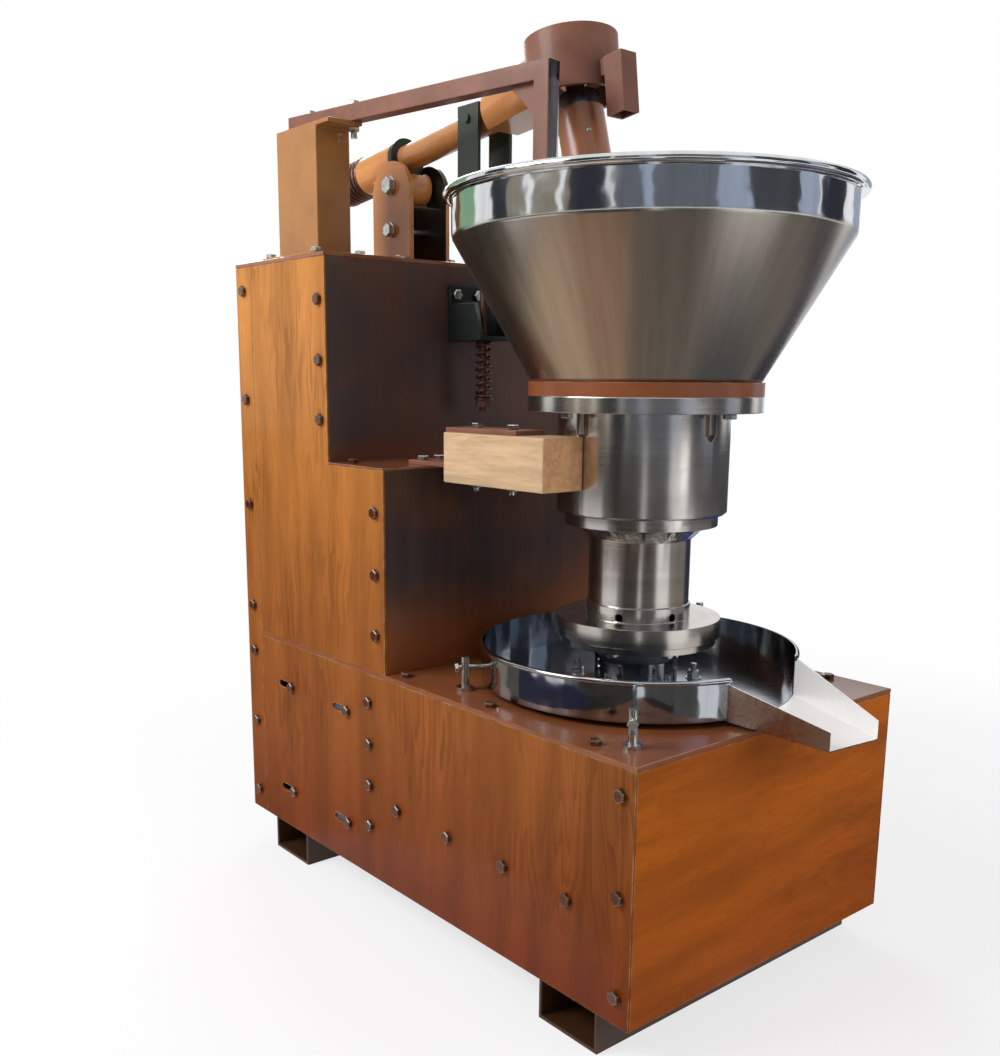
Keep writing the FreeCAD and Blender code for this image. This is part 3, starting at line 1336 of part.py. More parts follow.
def make_scraper():
    """The box post, the square bar across to the hopper, and the blade that follows the cone."""
    x = post_x()
    y = (post_back - post_depth, post_back)
    foot_top = column_top + post_base_thickness
    cap_low = column_top + post_height
    margin = post_base_margin
    base = box((x[0] - margin, x[1] + margin), (y[0] - margin, y[1] + margin), (column_top, foot_top))
    whole = box(x, y, (foot_top - 1, cap_low + 1))
    inside = box((x[0] + post_wall, x[1] - post_wall), (y[0] + post_wall, y[1] - post_wall),
                 (foot_top, cap_low))
    cap_top = cap_low + post_cap_thickness
    cap = box(x, (y[0] - post_cap_front, y[1]), (cap_low, cap_top))
    holes = [bolt_hole(p, UP, bolt_grip) for p in post_bolt_places()]
    arm_holes = [rod(p + DOWN * 80, UP, bolt_radius + bolt_hole_gap, 200) for p in scraper_bolt_places()]
    save("scraper_post", less(fused([base, whole.cut(inside), cap]), holes + arm_holes))
    start = V((x[0] + x[1]) / 2, y[1] - 6, cap_top)
    corner = V(scraper_side, scraper_back, cap_top)
    run = corner - start
    along = run / run.Length
    across = V(along.y, -along.x, 0)
    bar = hollow_bar(start - across * scraper_bar / 2, scraper_bar, scraper_bar_wall,
                     along * (run.Length + scraper_bar / 2), across, UP)
    down = hollow_bar(corner - across * scraper_bar / 2 - along * scraper_bar / 2 + UP * 1,
                      scraper_bar, scraper_bar_wall, DOWN * (cap_top + 1 - scraper_foot_height),
                      across, along)
    gusset = plate([corner - along * (scraper_bar / 2 - 1) + UP * 1 - across * 3,
                    corner - along * (scraper_bar / 2 + scraper_gusset) + UP * 1 - across * 3,
                    corner - along * (scraper_bar / 2 - 1) - UP * scraper_gusset - across * 3],
                   across * 6)
    outward = V(corner.x, corner.y - spindle_front, 0)
    radius = outward.Length
    outward = outward / radius
    side = V(-outward.y, outward.x, 0)
    offset = scraper_bar / 2 * (abs(side.dot(across)) + abs(side.dot(along))) + 1
    tab_corner = spindle_base + outward * (radius - blade_tab_width / 2) + side * offset
    tab_corner.z = scraper_foot_height + 4
    tab = plate([tab_corner, tab_corner + outward * blade_tab_width,
                 tab_corner + outward * blade_tab_width - side * blade_tab, tab_corner - side * blade_tab],
                V(0, 0, hopper_z + blade_height - tab_corner.z - 12))
    save("scraper_arm", less(fused([bar, down, gusset, tab]), arm_holes))
    make_blade(outward, side, offset)


def make_blade(outward, side, offset):
    """The scraper blade: a plate on the bar's tab, cut to the hopper's cone."""
    foot = spindle_base + side * offset
    low = hopper_z + hopper_sheet + blade_wall_gap
    high = low + blade_height
    cone_slope = (hopper_radius - hopper_bottom_radius) / hopper_cone_height

    def wall(z):
        chord = hopper_bottom_radius + (z - hopper_z) * cone_slope - 2 * blade_wall_gap - hopper_sheet
        return math.sqrt(chord * chord - (offset + blade_thickness) ** 2)
    corners = [(blade_inner_radius, low), (wall(low), low), (wall(high), high), (wall(high) - 60, high),
               (blade_inner_radius, low + 60)]
    blade = plate([foot + outward * r + UP * z for r, z in corners], side * blade_thickness)
    save("scraper_blade", blade)


def scraper_bolt_places():
    """Two bolts down through the scraper bar and the post's cap."""
    x = sum(post_x()) / 2
    top = column_top + post_height + post_cap_thickness
    start = V(x, post_back - 6, top)
    run = V(scraper_side, scraper_back, top) - start
    along = run / run.Length
    return [start + along * d + UP * scraper_bar for d in (48, post_depth + 26)]


def block_x():
    """The low and high x of the guide block, its inner face along the drum."""
    inner = -drum_radius - block_drum_gap
    return inner - block_width, inner


def block_foot_bolt_places():
    """The two bolts of the guide block's bracket on the step."""
    x = sum(block_x()) / 2
    y = block_back + block_plate + block_foot_length
    return [V(x + side * 18, y - 24, step_top + block_plate) for side in (-1, 1)]


def block_bolt_places():
    """The two upright bolts through the plate and the guide block."""
    x = sum(block_x()) / 2
    top = block_bottom + block_height + block_plate
    return [V(x, block_back - d, top) for d in (38, 132)]


def make_guide_block():
    """The timber block beside the drum and the folded bracket that holds it from the step."""
    x = block_x()
    middle_x = sum(x) / 2
    top = block_bottom + block_height
    timber = box(x, (block_back - block_length, block_back), (block_bottom, top))
    through = [rod(p + UP * 2, DOWN, bolt_radius + bolt_hole_gap, block_height + 20)
               for p in block_bolt_places()]
    end_bolt = V(middle_x, block_back + block_plate, (block_bottom + top) / 2 + 10)
    end_hole = bolt_hole(end_bolt, BACK, 60)
    save("guide_block", less(timber, through + [end_hole]))
    half = block_plate_width / 2
    plate_x = (middle_x - half, middle_x + half)
    back = block_back + block_plate
    over = box(plate_x, (block_back - block_plate_length, back), (top, top + block_plate))
    leg = box(plate_x, (block_back, back), (step_top, top + 1))
    foot = box(plate_x, (back - 1, back + block_foot_length), (step_top, step_top + block_plate))
    foot_holes = [bolt_hole(p, UP, bolt_grip) for p in block_foot_bolt_places()]
    save("guide_block_bracket", less(fused([over, leg, foot]), through + [end_hole] + foot_holes))


def make_bracket_bolts():
    """The plated bolts of the post, the brackets, the scraper bar and the guide block."""
    bolts = [bolt(p, UP, bolt_grip) for p in bracket_bolt_places() + post_bolt_places()]
    bolts += [bolt(p, UP, bolt_grip - 2) for p in block_foot_bolt_places()]
    bolts += [bolt(p, BACK * -1, bolt_grip) for p in rod_bracket_bolt_places()]
    for place in scraper_bolt_places():
        grip = scraper_bar + post_cap_thickness + 20
        end = place + DOWN * (scraper_bar + post_cap_thickness)
        bolts.append(bolt(place, UP, grip).fuse(nut(end, DOWN)))
    for place in block_bolt_places():
        end = place + DOWN * (block_height + block_plate)
        bolts.append(bolt(place, UP, block_height + block_plate + 14).fuse(nut(end, DOWN)))
    middle_x = sum(block_x()) / 2
    end_bolt = V(middle_x, block_back + block_plate, block_bottom + block_height / 2 + 10)
    bolts.append(bolt(end_bolt, BACK, 28))
    save("bracket_bolts", *bolts)


def main():
    """Build every piece of the mill."""
    os.makedirs("parts", exist_ok=True)
    make_foot_channels()
    make_frame()
    make_floor_plate()
    make_side_panels()
    make_front_panels()
    make_tops()
    make_rear_cover()
    make_bulkhead()
    make_bed_plate()
    make_gearbox()
    make_cabinet_bolts()
    make_motor()
    make_coupling()
    make_worm()
    make_worm_wheel()
    make_spindle()
    make_mortar()
    make_hopper()
    make_tray()
    make_tray_stays()
    make_arm()
    make_cradle()
    make_bracket()
    make_cup()
    make_pestle()
    make_yoke()
    make_scraper()
    make_guide_block()
    make_bracket_bolts()


main()
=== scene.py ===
"""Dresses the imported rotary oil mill: lacquered wood-grain sheet, turned and polished steel, sawn
timber, and the plain studio round it. Metres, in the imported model's own frame, front at -Y."""

import json
import math

import bmesh
import bpy
from mathutils import Matrix, Quaternion, Vector


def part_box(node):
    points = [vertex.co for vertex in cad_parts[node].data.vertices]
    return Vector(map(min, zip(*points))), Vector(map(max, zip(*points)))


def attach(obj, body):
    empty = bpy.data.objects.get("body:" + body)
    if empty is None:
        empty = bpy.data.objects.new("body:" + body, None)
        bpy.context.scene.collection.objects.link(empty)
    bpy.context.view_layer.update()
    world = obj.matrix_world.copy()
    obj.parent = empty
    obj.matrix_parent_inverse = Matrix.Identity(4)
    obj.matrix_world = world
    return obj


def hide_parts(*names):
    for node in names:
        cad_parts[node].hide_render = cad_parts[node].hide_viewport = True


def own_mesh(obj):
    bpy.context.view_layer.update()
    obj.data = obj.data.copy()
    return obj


bl_info = {
    "name": "Rotary Oil Mill Dressing",
    "version": (1, 0, 0),
    "blender": (4, 5, 0),
    "location": "View3D > Sidebar > Oil Mill",
    "description": "Pieces, finishes and studio for a packed rotary oil mill",
    "category": "Object",
}

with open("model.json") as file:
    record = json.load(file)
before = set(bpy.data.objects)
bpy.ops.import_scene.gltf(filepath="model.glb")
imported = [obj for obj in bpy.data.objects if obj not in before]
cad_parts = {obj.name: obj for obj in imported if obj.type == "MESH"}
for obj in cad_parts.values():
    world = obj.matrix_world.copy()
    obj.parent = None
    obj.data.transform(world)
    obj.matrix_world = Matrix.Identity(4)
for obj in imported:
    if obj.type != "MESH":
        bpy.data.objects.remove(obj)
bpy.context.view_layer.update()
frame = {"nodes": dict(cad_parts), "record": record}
body_of = {node: body for body, nodes in frame["record"]["behaviour"]["bodies"].items() for node in nodes}


def linear(hex_colour):
    """An sRGB hex colour as the linear red, green and blue that a shader takes."""
    channels = [int(hex_colour[i:i + 2], 16) / 255 for i in (1, 3, 5)]
    return tuple(c / 12.92 if c <= 0.04045 else ((c + 0.055) / 1.055) ** 2.4 for c in channels)


def paint_of(colour):
    """A colour property with the alpha that a shader socket wants."""
    return (*colour, 1.0)


def colour_choice(name, description, hex_colour):
    """A colour that a user of the dressing can change, with its default."""
    return bpy.props.FloatVectorProperty(name=name, description=description, subtype="COLOR",
                                         min=0, max=1, default=linear(hex_colour))


# Where the mill's own axes run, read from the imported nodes
hopper_low, hopper_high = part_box("hopper")
spindle_axis = (hopper_low + hopper_high) / 2
swivel_low, swivel_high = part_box("cup_swivel")
swivel = (swivel_low + swivel_high) / 2
pestle_tilt = math.radians(15.0)
arm_tilt = math.radians(7.0)
pestle_line = Vector((0, math.sin(pestle_tilt), math.cos(pestle_tilt)))
arm_line = Vector((0, math.cos(arm_tilt), -math.sin(arm_tilt)))


class MillColours(bpy.types.PropertyGroup):
    """Colours of the mill's paints, timber and metals."""

    grain: colour_choice("Grain", "Ground colour of the wood-grain lacquer on the sides", "#B27438")
    # Darker ground towards the feet, painted shade where less light falls low on the sides
    grain_shaded_foot: colour_choice(
        "Grain foot", "Deeper ground of the wood-grain lacquer near the feet", "#6E2C04")
    grain_dark: colour_choice("Grain veins", "Dark veins of the wood-grain lacquer", "#522408")
    front: colour_choice("Front", "Ground colour of the front panel's lacquer", "#A8560F")
    front_dark: colour_choice("Front veins", "Veins of the front panel's lacquer", "#6A3008")
    # Darker ground at the foot of the front panel, painted shade
    front_shaded_foot: colour_choice("Front foot", "Ground colour at the foot of the front panel", "#9A4A10")
    # The step and column fronts are painted nearly black as painted shade and dark reflection, and brown
    # towards their foot as painted reflection
    step_painted_shade: colour_choice("Step dark", "Nearly black stain of the step front", "#382C29")
    column_painted_shade: colour_choice("Column dark", "Black-brown stain of the column front", "#504340")
    step_painted_reflection: colour_choice("Step brown", "Brown that shows through the dark stain", "#8A4A20")
    deck: colour_choice("Deck", "Red-brown gloss paint of the flat tops", "#804A2C")
    bolt: colour_choice("Painted bolts", "Brown paint on the cabinet's bolt heads", "#4A2410")
    arm: colour_choice("Arm", "Orange-brown paint of the press arm", "#B47946")
    cup: colour_choice("Cup", "Brown paint of the cup, the scraper bar and the block's bracket", "#7B5040")
    yoke: colour_choice("Yoke", "Dark green paint of the yoke", "#343A34")
    foot: colour_choice("Feet", "Dark brown paint of the feet and inner frame", "#3E2414")
    steel: colour_choice("Turned steel", "Bare steel straight from the lathe", "#CBC6C0")
    sheet: colour_choice("Polished sheet", "Mirror-bright stainless of the hopper's band", "#D6D8DA")
    satin: colour_choice("Satin sheet", "Oiled satin stainless of the hopper's cone", "#B9B2A8")
    timber: colour_choice("Guide block", "Pale sawn timber", "#C0A07D")
    pestle: colour_choice("Pestle", "Oiled red-brown hardwood", "#A26543")


class MillSizes(bpy.types.PropertyGroup):
    """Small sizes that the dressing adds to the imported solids."""

    sheet_round: bpy.props.FloatProperty(
        name="Sheet edge", description="Rounding of the folded sheet's edges", unit="LENGTH",
        min=0.0002, max=0.002, default=0.0012)
    plate_round: bpy.props.FloatProperty(
        name="Plate edge", description="Rounding of the thick plates' edges", unit="LENGTH",
        min=0.0005, max=0.003, default=0.002)
    head_chamfer: bpy.props.FloatProperty(
        name="Bolt chamfer", description="Chamfer on the bolt heads", unit="LENGTH",
        min=0.0002, max=0.002, default=0.0013)
    timber_round: bpy.props.FloatProperty(
        name="Block edge", description="Wear on the guide block's sawn edges", unit="LENGTH",
        min=0.0005, max=0.006, default=0.0025)
    lip_radius: bpy.props.FloatProperty(
        name="Hopper lip", description="Radius of the wired edge of the hopper", unit="LENGTH",
        min=0.003, max=0.012, default=0.007)
    round_steps: bpy.props.IntProperty(
        name="Round steps", description="Steps in a full turn of the spun pieces",
        min=48, max=256, default=160)


# Mesh helpers


def made_object(shape, name, finish):
    """A finished bmesh as an object of one finish in the scene."""
    mesh = bpy.data.meshes.new(name)
    shape.to_mesh(mesh)
    shape.free()
    mesh.materials.append(finish)
    piece = bpy.data.objects.new(name, mesh)
    bpy.context.scene.collection.objects.link(piece)
    return piece


def placed(shape, name, body, finish, *nodes):
    """A finished bmesh as a smooth piece that rides on a body and stands for some nodes."""
    piece = made_object(shape, name, finish)
    piece.data.shade_smooth()
    piece.data.set_sharp_from_angle(angle=math.radians(28))
    flat = piece.modifiers.new("flat faces", "WEIGHTED_NORMAL")
    flat.keep_sharp = True
    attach(piece, body)
    if nodes:
        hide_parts(*nodes)
    return piece


def merged(node):
    """A bmesh of a node with its loose triangles joined and its flat faces made whole."""
    shape = bmesh.new()
    shape.from_mesh(frame["nodes"][node].data)
    bmesh.ops.remove_doubles(shape, verts=shape.verts, dist=0.000004)
    bmesh.ops.dissolve_limit(shape, angle_limit=math.radians(0.6), verts=shape.verts, edges=shape.edges)
    return shape


def eased(node, width, finish, sharpest=50, shortest=0.012, segments=2):
    """A node's own shape with its long sharp edges rounded, in its place."""
    shape = merged(node)
    sharp = [edge for edge in shape.edges
             if edge.is_manifold and edge.calc_face_angle() > math.radians(sharpest)
             and edge.calc_length() > shortest]
    bmesh.ops.bevel(shape, geom=sharp, offset=width, offset_type="OFFSET", segments=segments, profile=0.5,
                    affect="EDGES", clamp_overlap=False, material=-1)
    return placed(shape, node + "_dressed", body_of[node], finish, node)


def spun(name, points, body, finish, *nodes):
    """A closed outline of (radius, height) pairs turned round the spindle's axis."""
    shape = bmesh.new()
    ring = [shape.verts.new((radius, spindle_axis.y, height)) for radius, height in points]
    edges = [shape.edges.new((ring[i - 1], ring[i])) for i in range(len(ring))]
    bmesh.ops.spin(shape, geom=ring + edges, cent=(0, spindle_axis.y, 0), axis=(0, 0, 1),
                   angle=math.tau, steps=bpy.context.scene.mill_sizes.round_steps, use_merge=True)
    bmesh.ops.recalc_face_normals(shape, faces=shape.faces)
    return placed(shape, name, body, finish, *nodes)


def second_finish(piece, finish, chosen):
    """Gives a piece a second finish on the faces that a test of centre and normal picks."""
    piece.data.materials.append(finish)
    for face in piece.data.polygons:
        face.material_index = int(chosen(face.center, face.normal))


def prism(shape, seat, radius, low, high, sides, ease):
    """Adds a closed prism along a seat's own axis, from low to high, with its upper edge bevelled."""
    middle = seat @ Matrix.Translation((0, 0, (low + high) / 2))
    made = bmesh.ops.create_cone(shape, cap_ends=True, segments=sides, radius1=radius, radius2=radius,
                                 depth=high - low, matrix=middle)["verts"]
    upper = {vert for vert in made if (seat.inverted() @ vert.co).z > (low + high) / 2}
    crown = {edge for vert in upper for edge in vert.link_edges if edge.other_vert(vert) in upper}
    bmesh.ops.bevel(shape, geom=list(crown), offset=ease, offset_type="OFFSET", segments=1, profile=0.5,
                    affect="EDGES", clamp_overlap=False, material=-1)


def nuts(name, places, line, size, stud, body, finish):
    """Washers, hex nuts and the ends of their studs, seated on places and square to a line. The size
    is the nut's corner radius and its height, and the stud stands out of the nut by its own length."""
    shape = bmesh.new()
    radius, height = size
    washer, overlap = 0.0015, 0.001
    for place in places:
        seat = Matrix.Translation(place) @ line.to_track_quat("Z", "Y").to_matrix().to_4x4()
        prism(shape, seat, radius * 1.3, 0.0, washer, sides=28, ease=0.0003)
        prism(shape, seat, radius, overlap, height, sides=6, ease=radius * 0.14)
        prism(shape, seat, radius * 0.52, height - overlap, height + stud, sides=20, ease=radius * 0.1)
    piece = placed(shape, name, body, finish)
    return piece


def arc(centre, radius, start, end, count):
    """Points on an arc in the (radius, height) plane, angles in degrees."""
    turns = [math.radians(start + (end - start) * i / count) for i in range(count + 1)]
    return [(centre[0] + radius * math.cos(a), centre[1] + radius * math.sin(a)) for a in turns]


def coated(node, finish):
    """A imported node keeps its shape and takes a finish."""
    mesh = frame["nodes"][node].data
    mesh.materials.clear()
    mesh.materials.append(finish)


# Finishes

# Settings that many of the shader nodes share
product = {"operation": "MULTIPLY"}
smooth = {"interpolation_type": "SMOOTHSTEP"}
in_line = {"noise_dimensions": "1D"}
blended = {"data_type": "RGBA"}
tinted = {"data_type": "RGBA", "blend_type": "MULTIPLY"}


def add_node(tree, kind, settings=None, inputs=None):
    """Adds a shader node with its settings. An input is a value, a socket to link, or a node whose
    first output is linked."""
    node = tree.nodes.new("ShaderNode" + kind)
    for name, value in (settings or {}).items():
        setattr(node, name, value)
    for name, value in (inputs or {}).items():
        if isinstance(value, bpy.types.Node):
            value = value.outputs[0]
        if isinstance(value, bpy.types.NodeSocket):
            tree.links.new(value, node.inputs[name])
        else:
            node.inputs[name].default_value = value
    return node


def new_finish(name):
    """An empty node material and its tree."""
    finish = bpy.data.materials.get(name) or bpy.data.materials.new(name)
    finish.use_nodes = True
    finish.node_tree.nodes.clear()
    return finish, finish.node_tree


def close_finish(tree, inputs):
    """Ends a tree with its surface shader."""
    shader = add_node(tree, "BsdfPrincipled", inputs=inputs)
    add_node(tree, "OutputMaterial", inputs={"Surface": shader})


def worn_and_highlit_edges(tree, reach):
    """A mask that is bright where two faces meet within a reach, broken up as handling does: worn edges
    that also carry a painted highlight.
    """
    rounded = add_node(tree, "Bevel", {"samples": 4}, {"Radius": reach})
    facing = add_node(tree, "NewGeometry")
    bend = add_node(tree, "VectorMath", {"operation": "DOT_PRODUCT"},
                    {0: rounded, 1: facing.outputs["Normal"]})
    edge = add_node(tree, "MapRange", None, {0: bend.outputs["Value"], 1: 0.985, 2: 0.8, 3: 0.0, 4: 1.0})
    place = add_node(tree, "TexCoord").outputs["Object"]
    patches = add_node(tree, "TexNoise", None, {"Vector": place, "Scale": 35.0, "Detail": 4.0})
    broken = add_node(tree, "MapRange", None, {0: patches, 1: 0.42, 2: 0.62, 3: 0.15, 4: 1.0})
    worn_and_highlit = add_node(tree, "Math", product, {0: edge, 1: broken})
    return worn_and_highlit.outputs[0]


def grain_lacquer_with_painted_shade(name, light, low, dark, turn, along, painted_shade_heights, depth):
    """Printed wood-grain lacquer on sheet steel: broad pale and brown streaks, wavy dark veins a
    finger apart, fibres under a millimetre drawn at 4 mm to show, and a gloss clear coat. The ground
    turns from the light colour at the second of the painted shade heights to the darker low one at
    the first, as painted shade towards the foot, and its edges are pale with wear and a painted highlight."""
    finish, tree = new_finish(name)
    place = add_node(tree, "TexCoord").outputs["Object"]
    sway = add_node(tree, "TexNoise", None, {"Vector": place, "Scale": 7.0, "Detail": 1.0})
    shift = add_node(tree, "VectorMath", {"operation": "MULTIPLY_ADD"},
                     {0: sway.outputs["Color"], 1: (0.03, 0.03, 0.02), 2: place})
    ways = add_node(tree, "Mapping", None, {"Vector": shift, "Rotation": turn, "Scale": along})
    streaks = add_node(tree, "TexNoise", None,
                       {"Vector": ways, "Scale": 17.0, "Detail": 4.0, "Roughness": 0.5})
    fibres = add_node(tree, "TexNoise", None,
                      {"Vector": ways, "Scale": 240.0, "Detail": 3.0, "Roughness": 0.6})
    flames = add_node(tree, "TexNoise", None,
                      {"Vector": ways, "Scale": 9.0, "Detail": 3.0, "Roughness": 0.6})
    where = add_node(tree, "TexNoise", None, {"Vector": place, "Scale": 3.4, "Detail": 2.0})
    parts = add_node(tree, "SeparateXYZ", None, {0: place})
    ripples = add_node(tree, "Math", product, {0: flames, 1: 17.0})
    saw = add_node(tree, "Math", {"operation": "FRACT"}, {0: ripples})
    vein = add_node(tree, "MapRange", smooth, {0: saw, 1: 0.0, 2: 0.75, 3: depth, 4: 0.0})
    patch = add_node(tree, "MapRange", smooth, {0: where, 1: 0.42, 2: 0.62, 3: 0.1, 4: 1.0})
    veins = add_node(tree, "Math", product, {0: vein, 1: patch})
    pale = add_node(tree, "MapRange", smooth, {0: streaks, 1: 0.3, 2: 0.7, 3: 0.78, 4: 1.14})
    fibre = add_node(tree, "MapRange", None, {0: fibres, 1: 0.35, 2: 0.65, 3: 0.92, 4: 1.05})
    # Painted shade: the ground darkens from the light colour above to the low one near the foot
    height = add_node(tree, "MapRange", None,
                      {0: parts.outputs[2], 1: painted_shade_heights[0], 2: painted_shade_heights[1], 3: 0.0, 4: 1.0})
    tone = add_node(tree, "Math", product, {0: pale, 1: fibre})
    painted_shade_ground = add_node(tree, "Mix", blended, {0: height, 6: paint_of(low), 7: paint_of(light)})
    ground = add_node(tree, "Mix", tinted, {0: 1.0, 6: painted_shade_ground.outputs[2], 7: tone})
    veined = add_node(tree, "Mix", blended, {0: veins, 6: ground.outputs[2], 7: paint_of(dark)})
    worn_and_highlit = add_node(tree, "Mix", blended,
                    {0: worn_and_highlit_edges(tree, 0.0022), 6: veined.outputs[2], 7: paint_of(linear("#E2B888"))})
    bump = add_node(tree, "Bump", None, {"Height": fibres, "Strength": 0.04, "Distance": 0.0004})
    close_finish(tree, {"Base Color": worn_and_highlit.outputs[2], "Roughness": 0.4, "Specular IOR Level": 0.08,
                        "Coat Weight": 0.13, "Coat Roughness": 0.12, "Normal": bump})
    return finish


def dark_lacquer_with_painted_shade(name, dark, warm, low, high):
    """Dark brown paint under a gloss coat, painted even and nearly black above as shade and dark
    reflection, with brown painted reflections coming through in soft clouds towards the foot of the
    panel, and pale worn edges that carry a painted highlight."""
    finish, tree = new_finish(name)
    place = add_node(tree, "TexCoord").outputs["Object"]
    parts = add_node(tree, "SeparateXYZ", None, {0: place})
    clouds = add_node(tree, "TexNoise", None,
                      {"Vector": place, "Scale": 4.5, "Detail": 3.0, "Roughness": 0.5, "Distortion": 0.4})
    fibres = add_node(tree, "Mapping", None, {"Vector": place, "Scale": (1, 1, 0.08)})
    streaks = add_node(tree, "TexNoise", None,
                       {"Vector": fibres, "Scale": 60.0, "Detail": 4.0, "Roughness": 0.6})
    # Painted reflection: the brown share rises towards the foot, while painted shade keeps the top nearly
    # black
    height = add_node(tree, "MapRange", smooth, {0: parts.outputs[2], 1: low, 2: high, 3: 0.75, 4: 0.0})
    cloud = add_node(tree, "MapRange", None, {0: clouds, 1: 0.42, 2: 0.72, 3: 0.0, 4: 0.3})
    streak = add_node(tree, "MapRange", None, {0: streaks, 1: 0.3, 2: 0.7, 3: -0.06, 4: 0.08})
    both = add_node(tree, "Math", {"operation": "ADD"}, {0: height, 1: cloud})
    share = add_node(tree, "Math", {"operation": "ADD", "use_clamp": True}, {0: both, 1: streak})
    shade_and_reflection = add_node(tree, "Mix", blended, {0: share, 6: paint_of(dark), 7: paint_of(warm)})
    worn_and_highlit = add_node(tree, "Mix", blended,
                    {0: worn_and_highlit_edges(tree, 0.002), 6: shade_and_reflection.outputs[2], 7: paint_of(linear("#B88A64"))})
    bump = add_node(tree, "Bump", None, {"Height": clouds, "Strength": 0.12, "Distance": 0.004})
    close_finish(tree, {"Base Color": worn_and_highlit.outputs[2], "Roughness": 0.4, "Specular IOR Level": 0.15,
                        "Coat Weight": 0.2, "Coat Roughness": 0.16, "Normal": bump})
    return finish


def gloss_paint(name, colour, change, gloss, rough, wear_and_highlight_colour="#D9B79A"):
    """Brushed gloss paint on steel: clouds where it lies thick or thin, faint orange peel, and
    rubbed edges that show the pale undercoat, painted as highlights too."""
    finish, tree = new_finish(name)
    place = add_node(tree, "TexCoord").outputs["Object"]
    clouds = add_node(tree, "TexNoise", None,
                      {"Vector": place, "Scale": 14.0, "Detail": 6.0, "Roughness": 0.6})
    peel = add_node(tree, "TexNoise", None, {"Vector": place, "Scale": 320.0, "Detail": 2.0})
    thick = add_node(tree, "MapRange", None,
                     {0: clouds, 1: 0.3, 2: 0.7, 3: 1.0 - change, 4: 1.0 + change})
    shaded = add_node(tree, "Mix", tinted, {0: 1.0, 6: paint_of(colour), 7: thick})
    worn_and_highlit = add_node(tree, "Math", product, {0: worn_and_highlit_edges(tree, 0.002), 1: 0.6})
    final = add_node(tree, "Mix", blended, {0: worn_and_highlit, 6: shaded.outputs[2], 7: paint_of(linear(wear_and_highlight_colour))})
    bump = add_node(tree, "Bump", None, {"Height": peel, "Strength": 0.08, "Distance": 0.0005})
    close_finish(tree, {"Base Color": final.outputs[2], "Roughness": rough, "Specular IOR Level": 0.25,
                        "Coat Weight": gloss, "Coat Roughness": 0.1, "Normal": bump})
    return finish


def turned_steel(name, colour, rough, tint):
    """Mild steel straight from the lathe: tool rings under a millimetre apart, drawn 3 mm apart to
    show, and a brown film of dried oil, whose share is the tint."""
    finish, tree = new_finish(name)
    place = add_node(tree, "TexCoord").outputs["Object"]
    centred = add_node(tree, "Mapping", None, {"Vector": place, "Location": (0, -spindle_axis.y, 0)})
    parts = add_node(tree, "SeparateXYZ", None, {0: centred})
    flat = add_node(tree, "CombineXYZ", None, {0: parts.outputs[0], 1: parts.outputs[1]})
    reach = add_node(tree, "VectorMath", {"operation": "LENGTH"}, {0: flat})
    path = add_node(tree, "Math", {"operation": "ADD"}, {0: reach.outputs["Value"], 1: parts.outputs[2]})
    rings = add_node(tree, "TexNoise", in_line,
                     {"W": path, "Scale": 320.0, "Detail": 3.0, "Roughness": 0.6})
    bands = add_node(tree, "TexNoise", in_line,
                     {"W": path, "Scale": 24.0, "Detail": 2.0, "Roughness": 0.5})
    stains = add_node(tree, "TexNoise", None,
                      {"Vector": place, "Scale": 9.0, "Detail": 5.0, "Roughness": 0.6})
    lines = add_node(tree, "MapRange", None, {0: rings, 1: 0.3, 2: 0.7, 3: 0.97, 4: 1.02})
    band = add_node(tree, "MapRange", None, {0: bands, 1: 0.35, 2: 0.65, 3: 0.92, 4: 1.04})
    level = add_node(tree, "Math", product, {0: lines, 1: band})
    lined = add_node(tree, "Mix", tinted, {0: 1.0, 6: paint_of(colour), 7: level})
    oily = add_node(tree, "MapRange", None, {0: stains, 1: 0.45, 2: 0.75, 3: 0.0, 4: tint})
    final = add_node(tree, "Mix", blended, {0: oily, 6: lined.outputs[2], 7: paint_of(linear("#5E5147"))})
    matt = add_node(tree, "MapRange", None, {0: rings, 1: 0.3, 2: 0.7, 3: rough - 0.02, 4: rough + 0.03})
    bump = add_node(tree, "Bump", None, {"Height": rings, "Strength": 0.02, "Distance": 0.0002})
    close_finish(tree, {"Base Color": final.outputs[2], "Metallic": 1.0, "Roughness": matt,
                        "Normal": bump})
    return finish


